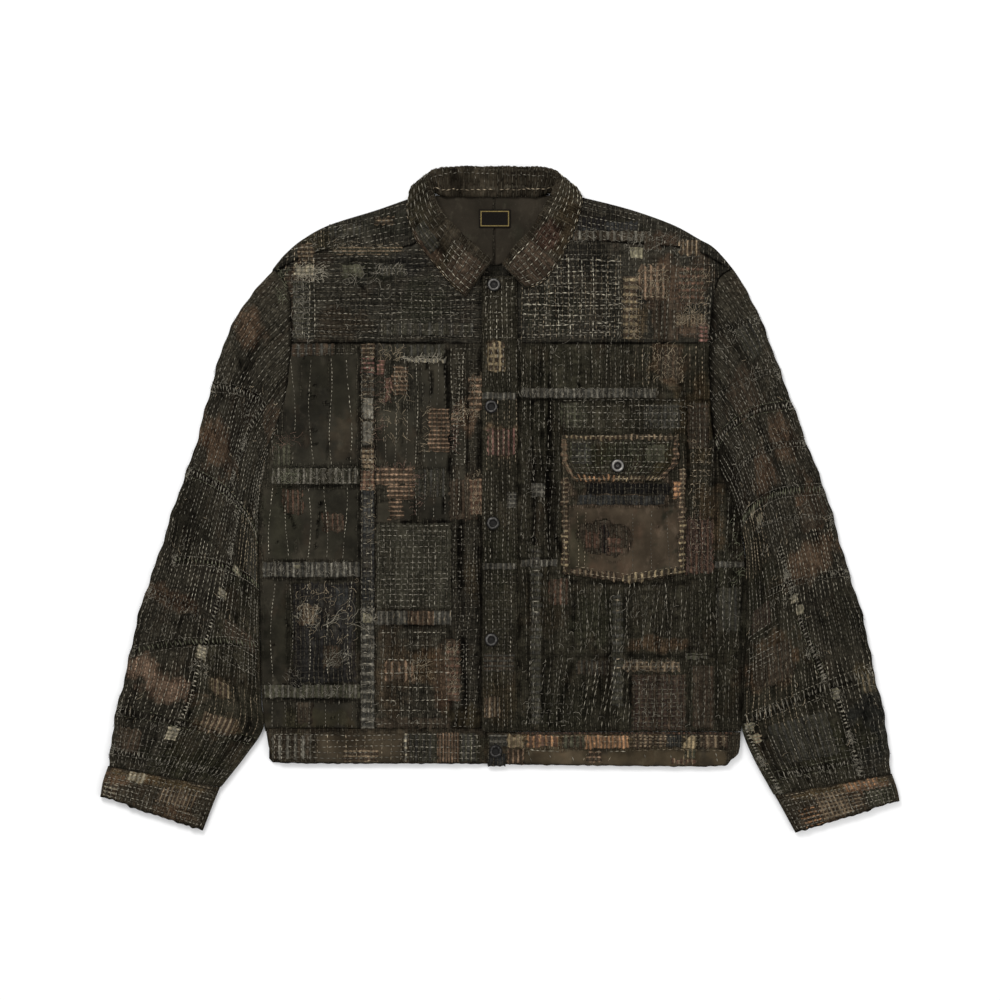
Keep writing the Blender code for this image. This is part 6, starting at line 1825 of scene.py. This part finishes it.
# ---------------------------------------------------------------------------------------
# Scraps sewn on the right front: the long ladder strip, the barred strips that meet it, the
# ribbed patches, the close cross-stitched panel and the barred strip under it, then the
# smaller bits and the torn place where the layers under the top one show.
RIGHT_SCRAPS = {
    "ladder_strip_right": [
        (-160, 165, -144.6, 180, "umber", "tan", 0, 5, 1, 0.9),
        (-160, 147, -144.6, 164, "brown", "pink", 0, 5.6, 0.7, 0.8),
        (-160, 119, -144.6, 146, "brown", "grey", 0, 9, 0.6, 0.7),
        (-158, 94, -146, 118, "ash", "ash", 0, 0, 0.8, 0.9),
        (-158, 64, -146, 91, "ash", "moss", 0, 0, 0.8, 0.9),
        (-160, 36, -144.6, 61, "tan", "umber", 0, 6, 1.2, 0.9),
        (-160, 12, -144.6, 35, "rust", "orange", 0, 6, 1, 0.8),
        (-160, -116, -144.6, 11, "slate", "grey", 0, 10, 0.5, 0.7),
        (-159, -141, -147, -129, "bone", "ash", 0, 0, 1.2, 1),
        (-160, -262, -144.6, -117, "grey", "ash", 0, 10.5, 0.5, 0.75)],
    "bar_strip_upper_right": [
        (-262, 19, -161, 37, "olive", "ash", 7.4, 0, 0.7, 0.8),
        (-204, 22, -198, 35, "rust", "pink", 0, 0, 0.9, 0.7)],
    "bar_strip_middle_right": [
        (-273, -88, -161, -71, "grey", "ash", 7.2, 0, 0.7, 0.8),
        (-237, -80, -228, -72, "bone", "moss", 0, 0, 1.2, 1)],
    "bar_strip_lower_right": [
        (-271, -227, -161, -212, "moss", "ash", 7, 0, 0.7, 0.8)],
    "ribbed_patch_high": [
        (-82, 56, -58, 106, "umber", "orange", 0, 4.9, 1.6, 0.9),
        (-57, 88, -44, 104, "brown", "orange", 0, 6, 2.8, 0.7)],
    "ribbed_patch_low": [
        (-143, 18, -98, 38, "umber", "orange", 0, 6, 1.6, 0.8),
        (-129, 1, -98, 18, "umber", "orange", 0, 5, 1.6, 0.8),
        (-128, -22, -112, 1, "brown", "orange", 0, 5, 2, 0.7)],
    "cross_stitched_panel": [(-143, -125, -56, -26, "olive", "grey", 0, 0, 1.0, 0.6)],
    "bar_strip_centre": [
        (-143, -143, -106, -127, "grey", "ash", 6.6, 0, 0.6, 0.8),
        (-106, -143, -76, -127, "umber", "orange", 6, 0, 0.6, 0.9),
        (-76, -143, -56, -127, "grey", "ash", 6.6, 0, 0.6, 0.8)],
}
SCRAP_SLOT = {  # the rest are patch_grey on the right front and patch_rust on the left one
    "ladder_strip_right": "patch_tan", "ribbed_patch_high": "patch_rust",
    "ribbed_patch_low": "patch_rust", "cross_stitched_panel": "cloth_olive",
    "checked_patch_left": "patch_wine", "brown_strip_left": "cloth_brown",
}
for number, (node, table) in enumerate(RIGHT_SCRAPS.items()):
    piece = sew_on(f"{node}_cloth", upper_face, table, seed=130 + 20 * number, step=1.9)
    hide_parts(node)
    SCRAP_SLOT.get(node, "patch_grey")
running_stitch("cross_panel_stitches", upper_face, [
    (-143, -125, -57, -27, "v", 6.6, 4.4, 1.6, "grey", 1, 0, 0.6),
    (-143, -125, -57, -27, "u", 6.2, 4.2, 1.6, "grey", 1, 0, 0.6),
    (-159, -260, -145, 176, "u", 11, 4.6, 1.8, "pale", 1.2, 0, 0.2),
    (-160, -262, -157, 176, "v", 2.6, 3.6, 2, "grey", 1.1, 0, 0.2),
    (-148, -262, -145, 176, "v", 2.6, 3.6, 2, "pale", 1.1, 0, 0.2)], seed=131)
sew_on("right_front_scraps", upper_face, [
    (-241, 166, -190, 180, "umber", "grey", 9, 0, 1.2, 0.5),
    (-250, -15, -226, 12, "brown", "rust", 6, 0, 2, 0.3),
    (-204, -36, -180, -14, "brown", "rust", 6, 0, 2, 0.3),
    (-260, 40, -240, 66, "olive", "moss", 6, 0, 1.2, 0.4),
    (-141, 146, -132, 162, "rust", "pink", 0, 5, 2, 0.7),
    (-133, 114, -125, 141, "rust", "pink", 0, 5.4, 2.2, 0.9),
    (-124, 122, -106, 154, "umber", "orange", 0, 5.2, 1.8, 0.6),
    (-142, 166, -64, 180, "olive", "grey", 8, 0, 1, 0.5),
    (-106, 159, -62, 163, "ash", "cream", 5, 0, 1.6, 0.7),
    (-36, 104, -18, 143, "umber", "orange", 0, 7, 1.3, 0.9),
    (-35, -16, -18, 24, "rust", "orange", 0, 8, 1.3, 0.9),
    (-132, -208, -98, -184, "umber", "orange", 8, 0, 3, 0.4),
    (-62, -230, -46, -160, "umber", "rust", 0, 8, 1.4, 0.6),
    (-100, 4, -62, 36, "olive", "grey", 7, 0, 1, 0.4),
    (-234, -256, -216, -232, "brown", "umber", 0, 0, 1.4, 0.5),
    (-143, -262, -57, -250, "brown", "olive", 0, 0, 1.4, 0.4),
    (-58, -22, -26, 24, "brown", "umber", 8, 0, 1.2, 0.35)], seed=132, step=1.9)
sew_on("torn_place", upper_face, [
    (-236, -210, -166, -96, "coal", "slate", 0, 0, 2.4, 0.5),
    (-230, -144, -209, -120, "umber", "tan", 5, 0, 3.2, 0.8),
    (-206, -148, -186, -126, "night", "coal", 0, 0, 2.6, 1),
    (-204, -192, -182, -166, "umber", "brown", 5, 0, 3.2, 0.8),
    (-242, -216, -226, -196, "night", "coal", 0, 0, 2.2, 0.9),
    (-190, -122, -172, -100, "slate", "coal", 0, 0, 2.4, 0.8)], seed=133, step=1.7)

# ---------------------------------------------------------------------------------------
# Scraps on the left front, its yoke, the shoulders and the right yoke.
LEFT_SCRAPS = {
    "checked_patch_left": [(152, -264, 214, -200, "wine", "umber", 8.6, 5.2, 1.2, 0.5)],
    "brown_strip_left": [(142, -196, 206, -184, "umber", "tan", 8, 5, 2.4, 0.5)],
    "panel_strip_left": [(213, -84, 245, -22, "wine", "rust", 6.5, 0, 1.6, 0.5)],
}
for number, (node, table) in enumerate(LEFT_SCRAPS.items()):
    piece = sew_on(f"{node}_cloth", upper_face, table, seed=230 + 20 * number, step=1.9)
    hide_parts(node)
    SCRAP_SLOT.get(node, "patch_rust")
running_stitch("left_scrap_stitches", upper_face, [
    (153, -262, 213, -202, "v", 8.4, 5, 1.2, "grey", 0.8, 0.02, 0.6),
    (153, -262, 213, -202, "u", 5.4, 5, 1.2, "dim", 0.7, 0.02, 0.6),
    (140, -196, 206, -182, "v", 7, 4.4, 1.8, "pale", 1.15, 0.06, 0.6),
    (36, -258, 47, -50, "u", 11.5, 5.6, 20, "pale", 1.6, 0, 0.2),
    (129, -234, 142, -109, "u", 11, 5.6, 20, "sand", 1.6, 0, 0.2)], seed=231)
sew_on("left_front_scraps", upper_face, [
    (182, 140, 208, 176, "brown", "umber", 8.5, 0, 2, 0.3),
    (36, 4, 52, 20, "grey", "ash", 6, 6, 0.8, 0.8),
    (24, 118, 180, 129, "grey", "ash", 6.8, 0, 0.7, 0.6),
    (216, 60, 240, 112, "brown", "umber", 0, 8, 1.2, 0.4),
    (24, -76, 66, -68, "grey", "ash", 6, 0, 0.7, 0.6),
    (247, -77, 281, -70, "grey", "ash", 6, 0, 0.7, 0.6),
    (35, -256, 47, -52, "olive", "grey", 0, 9, 1.6, 0.3),
    (129, -236, 141, -108, "olive", "grey", 0, 9, 1.6, 0.3),
    (214, -182, 238, -176, "moss", "ash", 6, 0, 1.2, 0.5),
    (88, -200, 124, -184, "brown", "grey", 6, 0, 1.2, 0.4),
    (222, -262, 246, -190, "brown", "umber", 7, 0, 1, 0.4),
    (250, -150, 276, -100, "olive", "grey", 7, 0, 1, 0.35),
    (70, 84, 100, 112, "olive", "moss", 8, 8, 1, 0.35),
    (166, 84, 206, 110, "olive", "grey", 8, 8, 1.6, 0.3),
    (56, -120, 80, -90, "brown", "rust", 7, 0, 1.2, 0.4)], seed=232, step=1.9)
yoke_scraps = sew_on("front_yoke_scraps", upper_face, [
    (-234, 258, -212, 270, "cream", "bone", 0, 4.4, 2.6, 0.8),
    (-182, 257, -156, 271, "moss", "olive", 0, 0, 1.6, 0.5),
    (-140, 258, -108, 271, "olive", "grey", 5, 0, 1, 0.5),
    (-238, 186, -214, 252, "olive", "grey", 0, 6, 0.9, 0.3),
    (-140, 190, -30, 204, "olive", "grey", 12, 0, 0.9, 0.35),
    (142, 186, 158, 258, "umber", "gold", 0, 8.5, 0.8, 0.8),
    (160, 232, 190, 270, "umber", "orange", 7, 0, 2.8, 0.4),
    (204, 202, 234, 214, "umber", "tan", 4, 0, 2.4, 0.6),
    (229, 182, 239, 200, "pink", "umber", 0, 5, 1, 0.7),
    (176, 184, 206, 230, "brown", "umber", 7, 0, 1.4, 0.4),
    (206, 226, 236, 270, "brown", "rust", 0, 8, 1.4, 0.4),
    (150, 279, 164, 291, "bone", "ash", 0, 0, 1.2, 0.9)], seed=233, step=1.9)
sew_on("shoulder_scraps", upper_face, [
    (-192, 283, -112, 292, "olive", "tan", 0, 4, 2.6, 0.5),
    (-144, 317, -121, 326, "brown", "tan", 0, 5, 2.8, 0.4),
    (84, 299, 172, 310, "brown", "ash", 8, 0, 1, 0.6),
    (90, 312, 122, 326, "coal", "slate", 0, 0, 1.2, 0.5),
    (92, 310, 160, 320, "slate", "coal", 0, 0, 1.4, 0.4),
    (166, 288, 186, 304, "brown", "umber", 6, 0, 1.4, 0.5),
    (-196, 304, -160, 318, "olive", "grey", 7, 0, 1.2, 0.4),
    (-232, 276, -214, 296, "umber", "tan", 0, 5, 1.4, 0.5),
    (206, 282, 230, 300, "umber", "tan", 5, 0, 1.8, 0.5)], seed=234, step=1.9)

# ---------------------------------------------------------------------------------------
# Strips sewn inside the pocket's upper edge: a plain blue-black one and a barred one.
for node, scrap, slot in (
        ("pocket_strip_dark", (28, 46, 124, 59, "night", "coal", 0, 0, 0.8, 0.7), "cloth_slate"),
        ("pocket_strip_barred", (18, 60, 118, 71, "slate", "grey", 6.4, 0, 0.8, 0.7),
         "patch_grey")):
    piece = sew_on(f"{node}_cloth", pocket_face, [scrap], up=-1, seed=251, step=1.8)
    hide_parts(node)

# ---------------------------------------------------------------------------------------
# Buttons. Cast metal shanks with a dark antique plating: a raised rolled rim round a sunk
# centre, rubbed bright on the high line. Each is fixed through the cloth by its shank.
BUTTON_R = 7.75


def plated_metal():
    """Material of the buttons: a dark patina, rubbed bright where the rim stands highest."""
    made, skin, metal = new_finish("antique_plating", 0.5, 0.5)
    skin["Metallic"].default_value = 1.0
    place = metal.node("TexCoord").outputs["Object"]
    patina = metal.node("TexNoise", {"Vector": place, "Scale": 420, "Detail": 5}).outputs["Fac"]
    worn = metal.sums("MULTIPLY_ADD", patina, 0.5, metal.read("rubbed", "Fac"))
    bright = metal.ranged(worn, 0.45, 1.2)
    metal.join(metal.mixed(bright, (0.022, 0.021, 0.020, 1), (0.42, 0.40, 0.37, 1)),
               skin["Base Color"])
    metal.join(metal.ranged(bright, 0, 1, 0.6, 0.3), skin["Roughness"])
    return made


PLATING = plated_metal()
BUTTON_PROFILE = [  # radius; height; how much it is rubbed
    (0, 1.5, 0.2), (1, 1.7, 0.6), (1.8, 1.5, 0.1), (3.2, 1.5, 0), (3.7, 1.8, 0.2), (4.2, 2.9, 0.7),
    (5, 3.6, 1), (5.8, 3.7, 1), (6.7, 3.3, 0.6), (7.4, 2.6, 0.3), (BUTTON_R, 1.8, 0.1),
    (7.3, 0.8, 0), (3, 0.3, 0), (0, 0, 0)]


def make_button(name, x, y, z, wear):
    """A button turned round its shank, with its wear kept on the raised line of the rim."""
    bm = bmesh.new()
    line = [bm.verts.new(((x + r) * MM, y * MM, (z + h) * MM)) for r, h, _ in BUTTON_PROFILE]
    edges = [bm.edges.new(pair) for pair in zip(line, line[1:])]
    bmesh.ops.spin(bm, geom=line + edges, cent=(x * MM, y * MM, 0), axis=(0, 0, 1), angle=math.tau,
                   steps=48, use_merge=True)
    bmesh.ops.remove_doubles(bm, verts=bm.verts, dist=0.000005)
    bmesh.ops.recalc_face_normals(bm, faces=bm.faces)
    if bm.calc_volume(signed=True) < 0:
        bmesh.ops.reverse_faces(bm, faces=bm.faces)
    rubbed = bm.verts.layers.float.new("rubbed")
    for vert in bm.verts:
        radius = math.hypot(vert.co.x / MM - x, vert.co.y / MM - y)
        height = vert.co.z / MM - z
        if height > 1.0:
            vert[rubbed] = wear * float(np.interp(radius, [p[0] for p in BUTTON_PROFILE[:11]],
                                                  [p[2] for p in BUTTON_PROFILE[:11]]))
    mesh = bpy.data.meshes.new(f"{name}_cap")
    bm.to_mesh(mesh)
    bm.free()
    made = laid_down(f"{name}_cap", mesh, PLATING)
    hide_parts(name)


for name, x, y, z, wear in (
        ("button_neck", -7, 248, 9.1, 0.38), ("button_chest", -10, 108, 9.1, 0.32),
        ("button_middle", -8, -26, 9.1, 0.32), ("button_low", -10, -160, 9.1, 0.34),
        ("button_waistband", -5, -288, 8.0, 0.26), ("button_pocket", 135, 40, 11.0, 0.64)):
    make_button(name, x, y, z, wear)

# ---------------------------------------------------------------------------------------
# Loose ends. Frayed yarns and snapped threads stand off the scraps' edges, the seams and
# the worn folds; a few long ones lie across the cloth in curls.
body_ends = loose_ends("body_loose_ends", upper_face, [
    (-90, 163, 24, 3, 60, 8, 0, 0.12, "pale"), (-128, 168, 14, 8, 30, 9, 60, 0.3, "sand"),
    (-124, 110, 18, 40, 60, 9, -80, 0.12, "sand"), (-142, 110, 6, 40, 40, 7, 0, 0.3, "rust"),
    (-84, 82, 4, 26, 30, 6, 180, 0.3, "sand"), (-54, 82, 4, 26, 36, 7, 10, 0.3, "rust"),
    (-44, 100, 12, 10, 30, 8, 30, 0.3, "sand"), (-26, 120, 6, 26, 36, 6, 90, 0.3, "sand"),
    (-26, 6, 6, 24, 40, 6, 90, 0.3, "sand"), (-124, 36, 22, 4, 30, 7, 90, 0.3, "rust"),
    (-98, 8, 6, 26, 30, 6, 0, 0.3, "rust"), (-250, 70, 14, 10, 16, 14, -20, 0.12, "rust"),
    (-244, 28, 12, 8, 40, 8, 20, 0.3, "moss"), (-200, -130, 34, 36, 70, 9, 45, 0.35, "sand"),
    (-186, -140, 18, 10, 10, 26, 40, 0.06, "pale"), (-190, -182, 12, 10, 40, 9, 50, 0.05, "grey"),
    (-222, -134, 12, 12, 50, 7, 60, 0.3, "pale"), (-236, -206, 10, 10, 40, 6, 90, 0.5, "dim"),
    (-92, -196, 16, 12, 40, 8, 90, 0.3, "sand"), (-54, -196, 8, 30, 60, 7, 90, 0.3, "sand"),
    (-152, -134, 8, 6, 20, 6, 90, 0.3, "pale"), (-152, 60, 9, 110, 110, 5, 0, 0.3, "sand"),
    (-152, -180, 9, 80, 60, 5, 0, 0.3, "grey"), (-100, -84, 44, 40, 16, 6, 45, 0.4, "grey"),
    (-220, 262, 16, 8, 70, 9, 0, 0.4, "pale"), (-158, 256, 16, 7, 14, 18, 20, 0.25, "grey"),
    (-124, 264, 18, 6, 40, 6, 90, 0.3, "grey"), (-230, 216, 12, 36, 80, 8, 90, 0.4, "grey"),
    (-140, 226, 90, 40, 60, 6, 0, 0.4, "grey"), (-250, 246, 6, 20, 50, 6, 120, 0.4, "moss"),
    (-140, 292, 60, 6, 40, 6, 0, 0.4, "sand"), (-200, 300, 30, 14, 40, 6, 60, 0.4, "grey"),
    (84, 230, 60, 44, 60, 6, 0, 0.4, "grey"), (150, 222, 9, 36, 90, 6, 0, 0.4, "sand"),
    (176, 250, 18, 18, 80, 7, 60, 0.4, "sand"), (218, 208, 16, 6, 50, 10, 10, 0.35, "sand"),
    (222, 236, 16, 30, 90, 7, 60, 0.4, "sand"), (176, 296, 34, 12, 80, 6, 30, 0.4, "grey"),
    (234, 192, 6, 10, 20, 6, 90, 0.3, "rust"), (112, 304, 40, 8, 60, 6, 0, 0.4, "grey"),
    (100, 160, 80, 22, 40, 7, 90, 0.3, "grey"), (194, 156, 18, 22, 70, 8, 90, 0.3, "sand"),
    (100, 124, 80, 5, 90, 5, 90, 0.3, "grey"), (132, 98, 80, 18, 40, 6, 60, 0.4, "grey"),
    (44, 40, 22, 90, 40, 6, 80, 0.4, "grey"), (230, 40, 14, 70, 40, 7, 90, 0.4, "sand"),
    (230, -52, 16, 32, 70, 7, 90, 0.3, "rust"), (140, -134, 70, 40, 50, 8, 90, 0.3, "grey"),
    (172, -190, 32, 7, 46, 8, 20, 0.25, "dim"), (182, -232, 32, 30, 50, 6, 90, 0.3, "grey"),
    (54, -220, 30, 40, 30, 6, 60, 0.4, "grey"), (110, -220, 34, 40, 30, 8, 80, 0.3, "grey"),
    (248, -160, 26, 90, 50, 6, 90, 0.4, "grey"), (270, -60, 8, 40, 40, 6, 60, 0.4, "moss"),
    (-110, -200, 30, 56, 30, 6, 45, 0.4, "grey"), (-218, -220, 50, 8, 50, 5, 90, 0.3, "grey"),
    (-218, -80, 50, 8, 60, 5, 90, 0.3, "grey"), (-210, 28, 48, 8, 60, 5, 90, 0.3, "grey")],
    seed=301, outline=lambda u: float(on_line(u, SHOULDER_FOLD)) - 7)

# ---------------------------------------------------------------------------------------
# The surface that the jacket lies on, the studio light and the camera straight above.
bm = bmesh.new()
bmesh.ops.create_grid(bm, x_segments=1, y_segments=1, size=6.0)
floor_mesh = bpy.data.meshes.new("floor")
bm.to_mesh(floor_mesh)
bm.free()
white_paper, paper, _ = new_finish("white_paper", 0.9, 0.1)
paper["Base Color"].default_value = (0.93, 0.93, 0.93, 1)
floor_mesh.materials.append(white_paper)
floor = bpy.data.objects.new("floor", floor_mesh)
bpy.context.scene.collection.objects.link(floor)

world = bpy.data.worlds.new("studio")
world.use_nodes = True
world.node_tree.nodes["Background"].inputs["Color"].default_value = (1, 1, 1, 1)
world.node_tree.nodes["Background"].inputs["Strength"].default_value = 0.75
bpy.context.scene.world = world
for name, spot, size, power in (("key", (-0.7, 1.3, 1.5), 0.7, 26),
                                ("fill", (1.5, -0.5, 1.5), 1.4, 10)):
    lamp = bpy.data.lights.new(name, "AREA")
    lamp.size = size
    lamp.energy = power
    made = bpy.data.objects.new(name, lamp)
    made.location = spot
    x, y, z = spot      # turned to the middle of the jacket
    made.rotation_euler = (math.atan2(math.hypot(x, y), z), 0, math.atan2(-y, -x) - math.pi / 2)
    bpy.context.scene.collection.objects.link(made)
bpy.context.scene.view_settings.view_transform = "Standard"

lens = bpy.data.cameras.new("camera")
lens.lens = 85
lens.sensor_width = 36
camera = bpy.data.objects.new("camera", lens)
camera.location = (0, 0.0006, 2.722)
bpy.context.scene.collection.objects.link(camera)
bpy.context.scene.camera = camera
